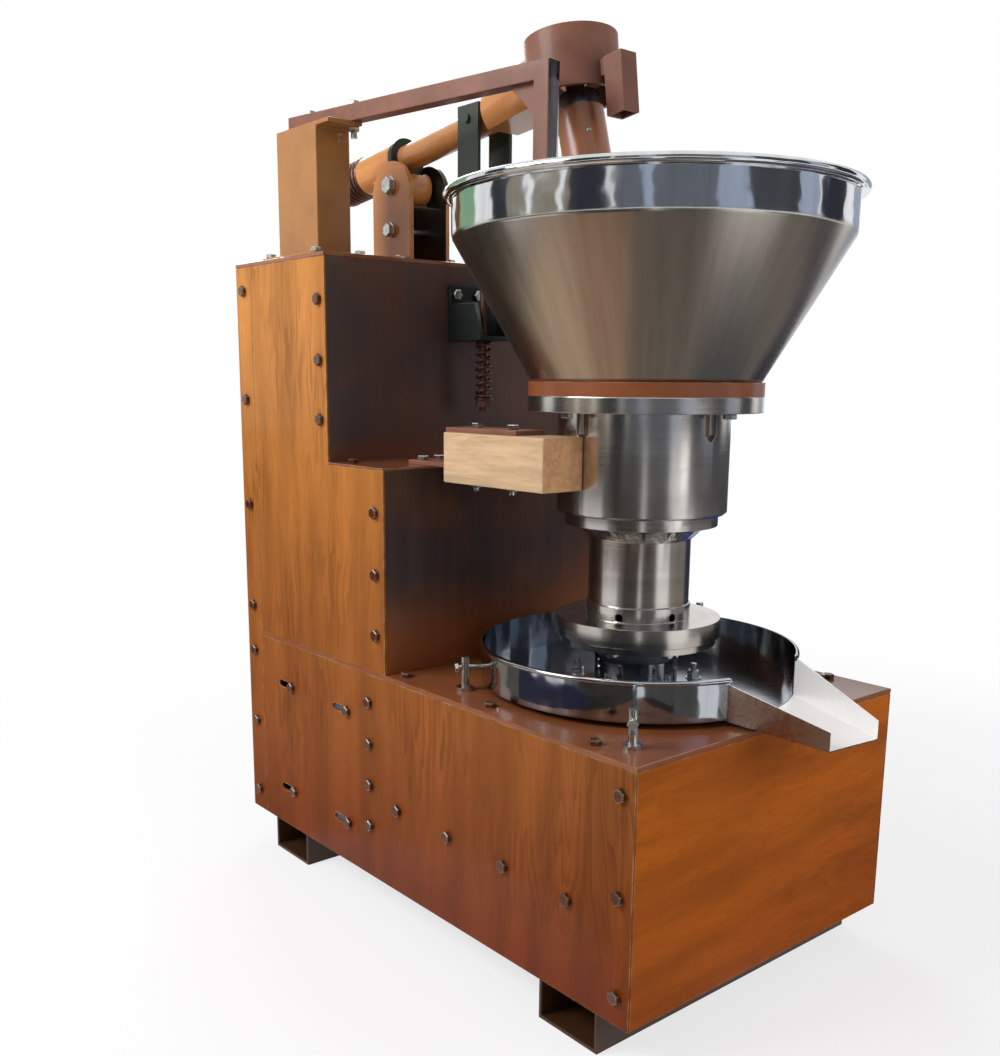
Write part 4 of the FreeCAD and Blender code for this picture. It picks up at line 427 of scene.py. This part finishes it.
def polished_sheet(name, bright, dull, low, high, satin, mirror, waves):
    """Stainless sheet: satin with a brown film of oil below one height, streaked up and down the wall
    as by rubbing and with painted reflections, and mirror bright above another, where shallow waves
    of the sheet break up what it reflects."""
    finish, tree = new_finish(name)
    place = add_node(tree, "TexCoord").outputs["Object"]
    centred = add_node(tree, "Mapping", None, {"Vector": place, "Location": (0, -spindle_axis.y, 0)})
    parts = add_node(tree, "SeparateXYZ", None, {0: centred})
    bearing = add_node(tree, "Math", {"operation": "ARCTAN2"},
                       {0: parts.outputs[1], 1: parts.outputs[0]})
    strokes = add_node(tree, "CombineXYZ", None, {0: bearing, 1: parts.outputs[2]})
    drawn = add_node(tree, "Mapping", None, {"Vector": strokes, "Scale": (1.0, 0.35, 1.0)})
    # Streaks up and down the wall: rubbing, and painted reflections
    rub_and_reflection_streaks = add_node(tree, "TexNoise", {"noise_dimensions": "2D"},
                    {"Vector": drawn, "Scale": 14.0, "Detail": 5.0, "Roughness": 0.55})
    haze = add_node(tree, "TexNoise", None, {"Vector": place, "Scale": 4.0, "Detail": 3.0})
    level = add_node(tree, "MapRange", smooth, {0: parts.outputs[2], 1: low, 2: high, 3: 0.0, 4: 1.0})
    matt = add_node(tree, "MapRange", None, {0: level, 1: 0.0, 2: 1.0, 3: satin, 4: mirror})
    cloud = add_node(tree, "MapRange", None, {0: haze, 1: 0.3, 2: 0.7, 3: 0.8, 4: 1.25})
    rough = add_node(tree, "Math", product, {0: matt, 1: cloud})
    rubbed = add_node(tree, "MapRange", None, {0: rub_and_reflection_streaks, 1: 0.3, 2: 0.7, 3: 0.9, 4: 1.06})
    metal = add_node(tree, "Mix", blended, {0: level, 6: paint_of(dull), 7: paint_of(bright)})
    final = add_node(tree, "Mix", tinted, {0: 1.0, 6: metal.outputs[2], 7: rubbed})
    dents = add_node(tree, "TexNoise", None,
                     {"Vector": place, "Scale": 12.0, "Detail": 2.0, "Roughness": 0.5})
    wavy = add_node(tree, "MapRange", None, {0: level, 1: 0.0, 2: 1.0, 3: 0.0, 4: waves})
    bump = add_node(tree, "Bump", None, {"Height": dents, "Strength": wavy, "Distance": 0.006})
    close_finish(tree, {"Base Color": final.outputs[2], "Metallic": 1.0, "Roughness": rough,
                        "Normal": bump})
    return finish


def bare_metal(name, colour, rough, change, metallic=1.0):
    """Plated, ground or cast metal with a fine mottle of tarnish, or moulded rubber where the
    metallic share is nought."""
    finish, tree = new_finish(name)
    place = add_node(tree, "TexCoord").outputs["Object"]
    mottle = add_node(tree, "TexNoise", None,
                      {"Vector": place, "Scale": 120.0, "Detail": 4.0, "Roughness": 0.6})
    tarnish = add_node(tree, "MapRange", None,
                       {0: mottle, 1: 0.3, 2: 0.7, 3: 1.0 - change, 4: 1.0 + change})
    final = add_node(tree, "Mix", tinted, {0: 1.0, 6: paint_of(colour), 7: tarnish})
    matt = add_node(tree, "MapRange", None, {0: mottle, 1: 0.3, 2: 0.7, 3: rough + 0.08, 4: rough - 0.05})
    bump = add_node(tree, "Bump", None, {"Height": mottle, "Strength": 0.1, "Distance": 0.0004})
    close_finish(tree, {"Base Color": final.outputs[2], "Metallic": metallic, "Roughness": matt,
                        "Normal": bump})
    return finish


def sawn_timber(name, colour, dark, turn, along, rough, checks, gloss):
    """Timber: growth rings a few millimetres apart stretched along the piece, darker streaks, and
    dark drying checks."""
    finish, tree = new_finish(name)
    place = add_node(tree, "TexCoord").outputs["Object"]
    ways = add_node(tree, "Mapping", None, {"Vector": place, "Rotation": turn, "Scale": along})
    bend = add_node(tree, "TexNoise", None, {"Vector": ways, "Scale": 8.0, "Detail": 2.0})
    shift = add_node(tree, "VectorMath", {"operation": "MULTIPLY_ADD"},
                     {0: bend.outputs["Color"], 1: (0.03, 0.03, 0.03), 2: ways})
    rings = add_node(tree, "TexNoise", None,
                     {"Vector": shift, "Scale": 95.0, "Detail": 5.0, "Roughness": 0.65})
    smears = add_node(tree, "TexNoise", None,
                      {"Vector": shift, "Scale": 11.0, "Detail": 3.0, "Roughness": 0.6})
    cracks = add_node(tree, "TexNoise", None,
                      {"Vector": shift, "Scale": 30.0, "Detail": 6.0, "Roughness": 0.75,
                       "Distortion": 0.8})
    ring = add_node(tree, "MapRange", None, {0: rings, 1: 0.35, 2: 0.65, 3: 0.8, 4: 1.1})
    smear = add_node(tree, "MapRange", None, {0: smears, 1: 0.35, 2: 0.65, 3: 0.78, 4: 1.08})
    both = add_node(tree, "Math", product, {0: ring, 1: smear})
    ringed = add_node(tree, "Mix", tinted, {0: 1.0, 6: paint_of(colour), 7: both})
    check = add_node(tree, "MapRange", smooth, {0: cracks, 1: 0.62, 2: 0.68, 3: 0.0, 4: checks})
    final = add_node(tree, "Mix", blended, {0: check, 6: ringed.outputs[2], 7: paint_of(linear(dark))})
    bump = add_node(tree, "Bump", None, {"Height": rings, "Strength": 0.25, "Distance": 0.0008})
    close_finish(tree, {"Base Color": final.outputs[2], "Roughness": rough, "Specular IOR Level": 0.35,
                        "Coat Weight": gloss, "Coat Roughness": 0.2, "Normal": bump})
    return finish


# Pieces


class MILL_OT_cabinet(bpy.types.Operator):
    """Side sheets, fronts, tops, rear cover and feet with their folded and rounded edges"""

    bl_idname = "mill.cabinet"
    bl_label = "Cabinet"

    def execute(self, context):
        colours, sizes = context.scene.mill_colours, context.scene.mill_sizes
        # Lacquered sheet steel, its printed grain upright on the sides and nearly level on the front, each
        # painted darker towards its foot as painted shade
        side = grain_lacquer_with_painted_shade("side_grain_shaded_lacquer", colours.grain, colours.grain_shaded_foot, colours.grain_dark,
                             turn=(0, 0, 0), along=(1, 1, 0.1), painted_shade_heights=(0.08, 1.1), depth=0.42)
        front = grain_lacquer_with_painted_shade("front_grain_shaded_lacquer", colours.front, colours.front_shaded_foot, colours.front_dark,
                              turn=(0, math.radians(12), 0), along=(0.16, 1, 1), painted_shade_heights=(0.05, 0.32),
                              depth=0.2)
        # The same sheet painted nearly black above as painted shade and dark reflection, and brown towards
        # the foot of each panel as painted reflection
        step = dark_lacquer_with_painted_shade("step_lacquer_painted_shade", colours.step_painted_shade, colours.step_painted_reflection, low=0.46, high=0.66)
        column = dark_lacquer_with_painted_shade("column_lacquer_painted_shade", colours.column_painted_shade, colours.step_painted_reflection,
                              low=0.78, high=0.9)
        for node in ("side_panel_left_lower", "side_panel_left_upper", "side_panel_right_lower",
                     "side_panel_right_upper", "rear_cover"):
            eased(node, sizes.sheet_round, side)
        eased("front_panel", sizes.sheet_round, front)
        eased("step_front_panel", sizes.sheet_round, step)
        eased("column_front_panel", sizes.sheet_round, column)
        # Red-brown enamel, brushed on thick, so the tops mirror what stands on them
        deck = gloss_paint("deck_gloss", colours.deck, change=0.16, gloss=0.7, rough=0.3)
        eased("deck_plate", sizes.plate_round, deck)
        eased("column_top_plate", sizes.plate_round, deck)
        eased("step_top_panel", sizes.sheet_round, deck)
        # Thin dark primer, nearly matt
        foot = gloss_paint("foot_paint", colours.foot, change=0.2, gloss=0.2, rough=0.5, wear_and_highlight_colour="#7A5A44")
        eased("foot_channels", sizes.sheet_round, foot)
        eased("frame", sizes.sheet_round, foot)
        for node in ("floor_plate", "bulkhead", "bed_plate"):
            coated(node, foot)
        return {"FINISHED"}


class MILL_OT_cabinet_bolts(bpy.types.Operator):
    """The painted hex bolts of the cabinet, their heads chamfered"""

    bl_idname = "mill.cabinet_bolts"
    bl_label = "Cabinet bolts"

    def execute(self, context):
        colours, sizes = context.scene.mill_colours, context.scene.mill_sizes
        # Brown enamel over plated heads, with pale edges where a spanner has rubbed them, painted as
        # highlights too
        paint = gloss_paint("bolt_paint", colours.bolt, change=0.25, gloss=0.6, rough=0.28, wear_and_highlight_colour="#E8DCCB")
        eased("cabinet_bolts", sizes.head_chamfer, paint, sharpest=75, shortest=0.008, segments=1)
        return {"FINISHED"}


class MILL_OT_drive(bpy.types.Operator):
    """Finishes of the motor, coupling and worm gear inside the cabinet"""

    bl_idname = "mill.drive"
    bl_label = "Drive"

    def execute(self, context):
        # Blue-grey machine enamel, cast iron, ground steel, cast bronze and moulded rubber
        drive = gloss_paint("drive_paint", linear("#3E4C5A"), change=0.15, gloss=0.2, rough=0.45,
                            wear_and_highlight_colour="#7C8790")
        iron = bare_metal("grey_iron", linear("#54565A"), rough=0.6, change=0.15, metallic=0.7)
        ground = bare_metal("ground_steel", linear("#8C8D8F"), rough=0.3, change=0.1)
        bronze = bare_metal("gear_bronze", linear("#B98A4E"), rough=0.35, change=0.12)
        rubber = bare_metal("coupling_rubber", linear("#1D1D1D"), rough=0.8, change=0.2, metallic=0.0)
        for node in ("gearbox_housing", "gearbox_cover", "motor_housing"):
            coated(node, drive)
        for node in ("coupling_hubs", "spindle_housing"):
            coated(node, iron)
        for node in ("motor_rotor", "worm_shaft", "spindle_bearings", "pestle_ferrule"):
            coated(node, ground)
        for node in ("worm_wheel", "cup_swivel"):
            coated(node, bronze)
        coated("coupling_spider", rubber)
        return {"FINISHED"}


class MILL_OT_mortar(bpy.types.Operator):
    """The turned neck, drum and flanges with their bolts and wooden pit"""

    bl_idname = "mill.mortar"
    bl_label = "Mortar"

    def execute(self, context):
        colours, sizes = context.scene.mill_colours, context.scene.mill_sizes
        # Turned steel, bright zinc plate, thin brown paint on the ring and oiled timber in the pit
        steel = turned_steel("turned_steel", colours.steel, rough=0.2, tint=0.25)
        zinc = bare_metal("bright_zinc", linear("#C4C4C0"), rough=0.22, change=0.12)
        brown = gloss_paint("ring_paint", linear("#7C4526"), change=0.12, gloss=0.15, rough=0.4)
        pit = sawn_timber("pit_wood", linear("#7A5236"), "#3A2214", turn=(0, 0, 0), along=(1, 1, 0.1),
                          rough=0.5, checks=0.6, gloss=0.3)
        for node in ("mortar_neck", "mortar_drum", "drum_flange"):
            eased(node, sizes.sheet_round, steel, shortest=0.002)
        coated("spindle", steel)
        coated("hopper_ring", brown)
        coated("mortar_liner", pit)
        eased("mortar_bolts", sizes.head_chamfer, zinc, sharpest=75, shortest=0.005, segments=1)
        return {"FINISHED"}


class MILL_OT_hopper(bpy.types.Operator):
    """The spun hopper: foot flange, cone, mirror band and wired edge"""

    bl_idname = "mill.hopper"
    bl_label = "Hopper"

    def execute(self, context):
        colours, sizes = context.scene.mill_colours, context.scene.mill_sizes
        # Radii of the flange's bore, the cone's foot and the band, the height of the cone, the sheet's
        # thickness, the soft bends at the foot and the crease, and the wall's ends below the lip
        bore, foot, wide, cone = 0.150, 0.190, 0.322, 0.228
        sheet, fold, crease = 0.003, 0.002, 0.004
        outer_end, inner_end, inner_foot = 0.008, 0.006, foot - 0.0035
        low, bend, top = hopper_low.z, hopper_low.z + cone, hopper_high.z
        # Spun stainless: an oiled satin cone, and above its crease a band polished to a mirror
        steel = polished_sheet("hopper_sheet", colours.sheet, colours.satin, low=bend - 0.004,
                               high=bend + 0.006, satin=0.26, mirror=0.1, waves=0.6)
        lip = (hopper_high.x - sizes.lip_radius, top - 0.0005)
        points = [(bore, low), (foot - fold, low), (foot, low + fold), (wide - crease / 2, bend - crease),
                  (wide, bend + crease), (wide, top - outer_end)]
        points += arc(lip, sizes.lip_radius, -115, 150, 14)
        points += [(wide - sheet, top - inner_end), (wide - sheet, bend + crease),
                   (wide - sheet - crease / 2, bend - crease), (inner_foot, low + sheet),
                   (bore, low + sheet)]
        spun("hopper_spun", points, "mortar", steel, "hopper")
        return {"FINISHED"}


class MILL_OT_tray(bpy.types.Operator):
    """Oil tray, spout and the studs that steady the tray"""

    bl_idname = "mill.tray"
    bl_label = "Oil tray"

    def execute(self, context):
        spout_round, stay_round = 0.0004, 0.0008
        # Stainless sheet, duller on the floor, where oil lies, than on the wall
        steel = polished_sheet("tray_sheet", linear("#B4B8BE"), linear("#9A9EA4"), low=0.476, high=0.480,
                               satin=0.14, mirror=0.09, waves=0.35)
        # Folded sheet, handled and brownish outside, and pale inside as a painted reflection
        outer = bare_metal("spout_outer_sheet", linear("#A5968A"), rough=0.25, change=0.02)
        inner_reflection = bare_metal("spout_inner_painted_reflection", linear("#F0EEEC"), rough=0.32, change=0.03, metallic=0.3)
        zinc = bpy.data.materials["bright_zinc"]
        coated("oil_tray", steel)
        spout = eased("oil_spout", spout_round, outer)
        low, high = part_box("oil_spout")
        middle = (low.x + high.x) / 2
        second_finish(spout, inner_reflection,
                      lambda centre, normal: normal.z > 0.5 or normal.x * (middle - centre.x) > 0.01)
        floor, circle = 0.477, 0.1
        bearings = [math.radians(60 * i + 15) for i in range(6)]
        places = [Vector((circle * math.cos(a), spindle_axis.y + circle * math.sin(a), floor))
                  for a in bearings]
        nuts("tray_nuts", places, Vector((0, 0, 1)), size=(0.011, 0.014), stud=0.012, body="cabinet",
             finish=zinc)
        eased("tray_stays", stay_round, zinc, sharpest=75, shortest=0.006, segments=1)
        return {"FINISHED"}


def wire_spring(name, start, line, size, length, body, finish, node):
    """A compression spring of round wire with closed ends, on a line from a start point. The size is
    the coil's radius, the wire's radius and the number of working turns."""
    radius, wire, turns = size
    closed, steps, sides = 0.75, 28, 10
    total = turns + 2 * closed
    across = line.orthogonal().normalized()
    beside = line.cross(across)
    shape = bmesh.new()
    ring = bmesh.ops.create_circle(shape, cap_ends=True, segments=sides, radius=wire)["verts"]
    out = start + line * wire + across * radius
    turned = Matrix.Translation(out) @ Matrix((across, line, -beside)).transposed().to_4x4()
    bmesh.ops.transform(shape, matrix=turned, verts=ring)
    face = shape.faces[:]
    for i in range(int(total * steps)):
        turn = (i + 0.5) / steps
        working = closed < turn < closed + turns
        rise = line * ((length - 2 * wire) / turns / steps if working else 0.0)
        made = bmesh.ops.extrude_face_region(shape, geom=face)["geom"]
        face = [part for part in made if isinstance(part, bmesh.types.BMFace)]
        moved = list({vert for part in face for vert in part.verts})
        bmesh.ops.rotate(shape, verts=moved, cent=start, matrix=Matrix.Rotation(math.tau / steps, 3, line))
        bmesh.ops.translate(shape, verts=moved, vec=rise)
    bmesh.ops.recalc_face_normals(shape, faces=shape.faces)
    return placed(shape, name, body, finish, node)


class MILL_OT_arm(bpy.types.Operator):
    """Press arm, its bracket and cradle, the tail spring and the sprung yoke"""

    bl_idname = "mill.arm"
    bl_label = "Press arm"

    def execute(self, context):
        colours, sizes = context.scene.mill_colours, context.scene.mill_sizes
        zinc = bpy.data.materials["bright_zinc"]
        # Orange-brown enamel of the arm, and a brighter copy on its cradle and bracket as painted light; a
        # duller brown, green and black on the cup, yoke and collar, all brushed on and rubbed at their
        # edges, with painted highlights there
        arm = gloss_paint("arm_paint", colours.arm, change=0.14, gloss=0.5, rough=0.32)
        cradle = gloss_paint("cradle_painted_light", linear("#C27F42"), change=0.14, gloss=0.5, rough=0.32)
        cup = gloss_paint("cup_paint", colours.cup, change=0.2, gloss=0.08, rough=0.5, wear_and_highlight_colour="#A87A62")
        green = gloss_paint("yoke_paint", colours.yoke, change=0.15, gloss=0.12, rough=0.45,
                            wear_and_highlight_colour="#5F8A6E")
        black = gloss_paint("collar_paint", linear("#1F2422"), change=0.15, gloss=0.3, rough=0.4,
                            wear_and_highlight_colour="#3F4A44")
        # Spring wire and rod, browned by heat and oil
        dark = bare_metal("spring_steel", linear("#6A4C42"), rough=0.35, change=0.2, metallic=0.8)
        coated("press_arm", arm)
        coated("arm_cradle", cradle)
        bracket = eased("arm_bracket", sizes.sheet_round, cradle)
        base_plate, large_chamfer = 0.014, 0.0015
        base_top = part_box("arm_bracket")[0].z + base_plate
        # The far cheek above the base plate takes the black paint as painted shade
        second_finish(bracket, black, lambda centre, normal: centre.x > 0 and centre.z > base_top)
        coated("arm_cup", cup)
        coated("arm_stop_collar", black)
        eased("tail_nut", large_chamfer, dark, sharpest=75, shortest=0.01, segments=1)
        eased("arm_bracket_bolts", large_chamfer, zinc, sharpest=75, shortest=0.01, segments=1)
        eased("bracket_bolts", sizes.head_chamfer, zinc, sharpest=75, shortest=0.006, segments=1)
        eased("yoke", sizes.sheet_round, green)
        eased("rod_bracket", sizes.sheet_round, black)
        coated("tie_rod", dark)
        # The tail spring bears on the end of the sleeve, 84 mm long at rest and 72 mm pressed
        below_swivel, along_arm = 0.015, 0.62
        sleeve_end = swivel - Vector((0, 0, below_swivel)) + arm_line * along_arm
        spring = wire_spring("tail_coil", sleeve_end, arm_line, (0.038, 0.0042, 6), 0.084, "cradle", dark,
                             "tail_spring")
        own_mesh(spring)
        low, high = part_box("rod_spring")
        middle = (low + high) / 2
        spring = wire_spring("rod_coil", Vector((middle.x, middle.y, low.z)), Vector((0, 0, 1)),
                             (0.014, 0.0028, 7), high.z - low.z, "cabinet", dark, "rod_spring")
        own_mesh(spring)
        return {"FINISHED"}


class MILL_OT_pestle(bpy.types.Operator):
    """The leaning wooden pestle"""

    bl_idname = "mill.pestle"
    bl_label = "Pestle"

    def execute(self, context):
        colours = context.scene.mill_colours
        # Turned hardwood, red-brown and shiny with oil, its grain along the leaning pestle
        wood = sawn_timber("oiled_hardwood", colours.pestle, "#4A2A1A", turn=(pestle_tilt, 0, 0),
                           along=(1, 1, 0.06), rough=0.35, checks=0.5, gloss=0.4)
        coated("pestle", wood)
        screw_height, pestle_radius = 1.392, 0.0405
        out = Vector((math.cos(math.radians(240)), math.sin(math.radians(240)), 0))
        seat = swivel + pestle_line * ((screw_height - swivel.z) / pestle_line.z) + out * pestle_radius
        nuts("pestle_screw", [seat], out, size=(0.0045, 0.003), stud=0.0015, body="pestle",
             finish=bpy.data.materials["bright_zinc"])
        return {"FINISHED"}


class MILL_OT_scraper(bpy.types.Operator):
    """Scraper post, bar and blade"""

    bl_idname = "mill.scraper"
    bl_label = "Scraper"

    def execute(self, context):
        sizes = context.scene.mill_sizes
        rubbed_and_highlit_from, blade_round = -0.19, 0.0006
        # Brown enamel of the post, and flat steel of the bar where its paint is rubbed through, painted
        # nearly white on its front face as a highlight
        post = gloss_paint("post_paint", linear("#9B6833"), change=0.14, gloss=0.4, rough=0.34)
        rubbed = bare_metal("rubbed_bar_painted_highlight", linear("#F4F0F6"), rough=0.35, change=0.04, metallic=0.1)
        eased("scraper_post", sizes.plate_round, post)
        bar = eased("scraper_arm", sizes.plate_round, bpy.data.materials["cup_paint"])
        second_finish(bar, rubbed, lambda centre, normal: normal.y < -0.9 and centre.x > rubbed_and_highlit_from)
        eased("scraper_blade", blade_round, bpy.data.materials["turned_steel"])
        return {"FINISHED"}


class MILL_OT_guide_block(bpy.types.Operator):
    """The sawn block against the drum and its folded bracket"""

    bl_idname = "mill.guide_block"
    bl_label = "Guide block"

    def execute(self, context):
        colours, sizes = context.scene.mill_colours, context.scene.mill_sizes
        # Dry softwood from the saw: long pale grain on the sides, darker open grain on the ends
        timber = sawn_timber("pale_sawn_timber", colours.timber, "#4E3320", turn=(0, 0, 0),
                             along=(1, 0.12, 1), rough=0.7, checks=0.75, gloss=0.0)
        ends = sawn_timber("sawn_end_grain", linear("#C29266"), "#4E3320", turn=(0, 0, 0),
                           along=(1, 1, 1), rough=0.8, checks=0.6, gloss=0.0)
        block = eased("guide_block", sizes.timber_round, timber, segments=3)
        second_finish(block, ends, lambda centre, normal: abs(normal.y) > 0.9)
        eased("guide_block_bracket", sizes.sheet_round, bpy.data.materials["cup_paint"])
        return {"FINISHED"}


# Studio


def soft_lamp(name, place, target, size, power):
    """A square area lamp turned towards a point."""
    lamp = bpy.data.lights.new(name, "AREA")
    lamp.shape = "SQUARE"
    lamp.size = size
    lamp.energy = power
    holder = bpy.data.objects.new(name, lamp)
    bpy.context.scene.collection.objects.link(holder)
    holder.location = place
    holder.rotation_euler = (Vector(target) - Vector(place)).to_track_quat("-Z", "Y").to_euler()


def unlit_rays(tree, path):
    """Is one for the rays that see the backdrop: the camera's, mirrored ones and those through glass."""
    mirrored = add_node(tree, "Math", {"operation": "MAXIMUM"},
                        {0: path.outputs["Is Camera Ray"], 1: path.outputs["Is Glossy Ray"]})
    through = add_node(tree, "Math", {"operation": "MAXIMUM"},
                       {0: mirrored, 1: path.outputs["Is Transmission Ray"]})
    return through.outputs[0]


def cloth_screens(name, colour, spans, near, far):
    """Glowing cloths of one colour round the set that only mirror-like surfaces see, hung or laid to
    paint reflections of a room as metal's dark and coloured bands. Each runs from a near to a far edge,
    both given as a distance from the middle and a height, over each span between two bearings in degrees."""
    shape = bmesh.new()
    for start, end in spans:
        side = Vector((math.cos(math.radians(start)), math.sin(math.radians(start)), 0))
        ends = [shape.verts.new(side * reach + Vector((0, 0, height))) for reach, height in (near, far)]
        edge = shape.edges.new(ends)
        bmesh.ops.spin(shape, geom=[*ends, edge], cent=(0, 0, 0), axis=(0, 0, 1),
                       angle=math.radians(end - start), steps=8)
    finish, tree = new_finish(name + "_cloth")
    glow = add_node(tree, "Emission", None, {"Color": paint_of(linear(colour)), "Strength": 1.0})
    add_node(tree, "OutputMaterial", inputs={"Surface": glow})
    screens = made_object(shape, name, finish)
    for rays in ("camera", "diffuse", "shadow", "transmission"):
        setattr(screens, "visible_" + rays, False)


# Each ring of cloths: its name, its near and far edge as (distance, height), and its colours by bearing
backdrop = (
    ("high", (3.0, 0.7), (3.0, 3.0), (
        ("green", "#8FB391", ((86, 114),)),
        ("black", "#33363D", ((130, 146), (186, 205), (272, 300), (316, 338))),
        ("brown", "#8E8576", ((146, 160), (164, 178), (182, 186))),
        ("grey", "#6C7078", ((207, 221), (228, 256))),
        ("blue", "#A3AEC2", ((221, 228), (256, 272), (300, 314), (352, 368))))),
    ("upper", (1.6, 0.58), (1.6, 0.84), (
        ("green", "#5F9468", ((72, 88),)),
        ("umber", "#211E1D", ((88, 204),)),
        ("olive", "#484B47", ((204, 230),)),
        ("slate", "#63676A", ((234, 259),)),
        ("ash", "#505258", ((280, 378),)))),
    ("middle", (1.6, 0.17), (1.6, 0.58), (
        ("green", "#5F9468", ((72, 88),)),
        ("umber", "#4A4541", ((88, 142),)),
        ("stone", "#86827C", ((184, 198), (290, 338))),
        ("earth", "#43403C", ((196, 229),)),
        ("dove", "#5A5854", ((234, 263),)),
        ("navy", "#333749", ((338, 378),)))),
    ("low", (1.6, 0.0), (1.6, 0.17), (
        ("straw", "#968C7F", ((95, 130),)),
        ("dove", "#63605C", ((130, 144), (252, 264), (276, 345))),
        ("indigo", "#2E2F44", ((144, 200),)),
        ("earth", "#33302B", ((200, 252),)),
        ("navy", "#2C3560", ((345, 378),)))),
    ("floor", (0.62, 0.004), (1.6, 0.004), (
        ("dusk", "#534D4C", ((60, 78),)),
        ("green", "#5F9468", ((78, 100),)),
        ("sand", "#D2BAA2", ((104, 178),)),
        ("clay", "#B1937D", ((178, 218),)),
        ("stone", "#7C756F", ((218, 275),)),
        ("slate", "#54585C", ((275, 322),)),
        ("navy", "#35418A", ((322, 420),)))),
)


class MILL_OT_stage(bpy.types.Operator):
    """Pale floor, soft lamps, plain surroundings and the camera"""

    bl_idname = "mill.stage"
    bl_label = "Studio"

    def execute(self, context):
        scene = context.scene
        shape = bmesh.new()
        bmesh.ops.create_grid(shape, x_segments=1, y_segments=1, size=14.0)
        # Matt floor paint that turns to plain white away from the mill and keeps its shadow near it
        finish, tree = new_finish("studio_floor_paint")
        path = add_node(tree, "LightPath")
        place = add_node(tree, "TexCoord").outputs["Object"]
        away = add_node(tree, "VectorMath", {"operation": "LENGTH"}, {0: place})
        clear = add_node(tree, "MapRange", smooth,
                         {0: away.outputs["Value"], 1: 0.9, 2: 2.6, 3: 0.72, 4: 1.0})
        share = add_node(tree, "Math", product, {0: unlit_rays(tree, path), 1: clear})
        plain = add_node(tree, "BsdfDiffuse", None, {"Color": (0.8, 0.8, 0.8, 1)})
        white = add_node(tree, "Emission", None, {"Color": (1, 1, 1, 1), "Strength": 1.0})
        mix = add_node(tree, "MixShader", None, {0: share, 1: plain, 2: white})
        add_node(tree, "OutputMaterial", inputs={"Surface": mix})
        floor = made_object(shape, "studio_floor", finish)
        # Surroundings that look white and light the mill at less than half of that
        world = bpy.data.worlds.new("studio_world")
        scene.world = world
        world.use_nodes = True
        sky = world.node_tree
        sky.nodes.clear()
        ray = add_node(sky, "LightPath")
        strength = add_node(sky, "MapRange", None,
                            {0: unlit_rays(sky, ray), 1: 0.0, 2: 1.0, 3: 0.42, 4: 1.0})
        back = add_node(sky, "Background", None, {"Color": (1, 1, 1, 1), "Strength": strength})
        add_node(sky, "OutputWorld", inputs={"Surface": back})
        soft_lamp("key_lamp", (-2.6, 0.9, 2.6), (0, 0, 0.8), 1.6, 100)
        soft_lamp("fill_lamp", (1.2, -3.4, 1.6), (0, 0, 0.5), 2.4, 42)
        soft_lamp("back_lamp", (1.6, 3.2, 2.8), (0, 0, 0.8), 2.0, 60)
        for name, near, far, cloths in backdrop:
            for colour_name, colour, spans in cloths:
                cloth_screens(name + "_" + colour_name, colour, spans, near, far)
        # Where the camera stands, the line it looks along and its small roll, solved from the photograph
        stand, look = (-1.3866, -1.5126, 0.9826), Vector((0.6215, 0.7594, -0.1925))
        roll = Quaternion((0, 0, 1), math.radians(0.3))
        lens = bpy.data.cameras.new("photo_camera")
        lens.lens = 37.43
        lens.sensor_width = 36.0
        lens.shift_x = 0.019
        lens.shift_y = 0.064
        holder = bpy.data.objects.new("photo_camera", lens)
        scene.collection.objects.link(holder)
        holder.location = stand
        holder.rotation_mode = "QUATERNION"
        holder.rotation_quaternion = look.to_track_quat("-Z", "Y") @ roll
        scene.camera = holder
        scene.view_settings.view_transform = "Standard"
        return {"FINISHED"}


class MILL_PT_dressing(bpy.types.Panel):
    """The sidebar panel that lists the mill's pieces, sizes and colours"""

    bl_label = "Oil Mill"
    bl_idname = "MILL_PT_dressing"
    bl_space_type = "VIEW_3D"
    bl_region_type = "UI"
    bl_category = "Oil Mill"

    def draw(self, context):
        for operator in piece_operators:
            self.layout.operator(operator.bl_idname)
        for group in (context.scene.mill_sizes, context.scene.mill_colours):
            for name in group.bl_rna.properties.keys():
                if name not in ("rna_type", "name"):
                    self.layout.prop(group, name)


piece_operators = (MILL_OT_cabinet, MILL_OT_cabinet_bolts, MILL_OT_drive, MILL_OT_mortar, MILL_OT_hopper,
                   MILL_OT_tray, MILL_OT_arm, MILL_OT_pestle, MILL_OT_scraper, MILL_OT_guide_block,
                   MILL_OT_stage)
mill_classes = (MillColours, MillSizes, *piece_operators, MILL_PT_dressing)


def register():
    """Adds the mill's classes and its settings on the scene."""
    for mill_class in mill_classes:
        bpy.utils.register_class(mill_class)
    bpy.types.Scene.mill_colours = bpy.props.PointerProperty(type=MillColours)
    bpy.types.Scene.mill_sizes = bpy.props.PointerProperty(type=MillSizes)


def unregister():
    """Removes the settings and the classes again."""
    del bpy.types.Scene.mill_sizes
    del bpy.types.Scene.mill_colours
    for mill_class in reversed(mill_classes):
        bpy.utils.unregister_class(mill_class)


def main():
    """Makes every piece in order."""
    register()
    bpy.ops.mill.cabinet()
    bpy.ops.mill.cabinet_bolts()
    bpy.ops.mill.drive()
    bpy.ops.mill.mortar()
    bpy.ops.mill.hopper()
    bpy.ops.mill.tray()
    bpy.ops.mill.arm()
    bpy.ops.mill.pestle()
    bpy.ops.mill.scraper()
    bpy.ops.mill.guide_block()
    bpy.ops.mill.stage()


if __name__ == "__main__":
    main()
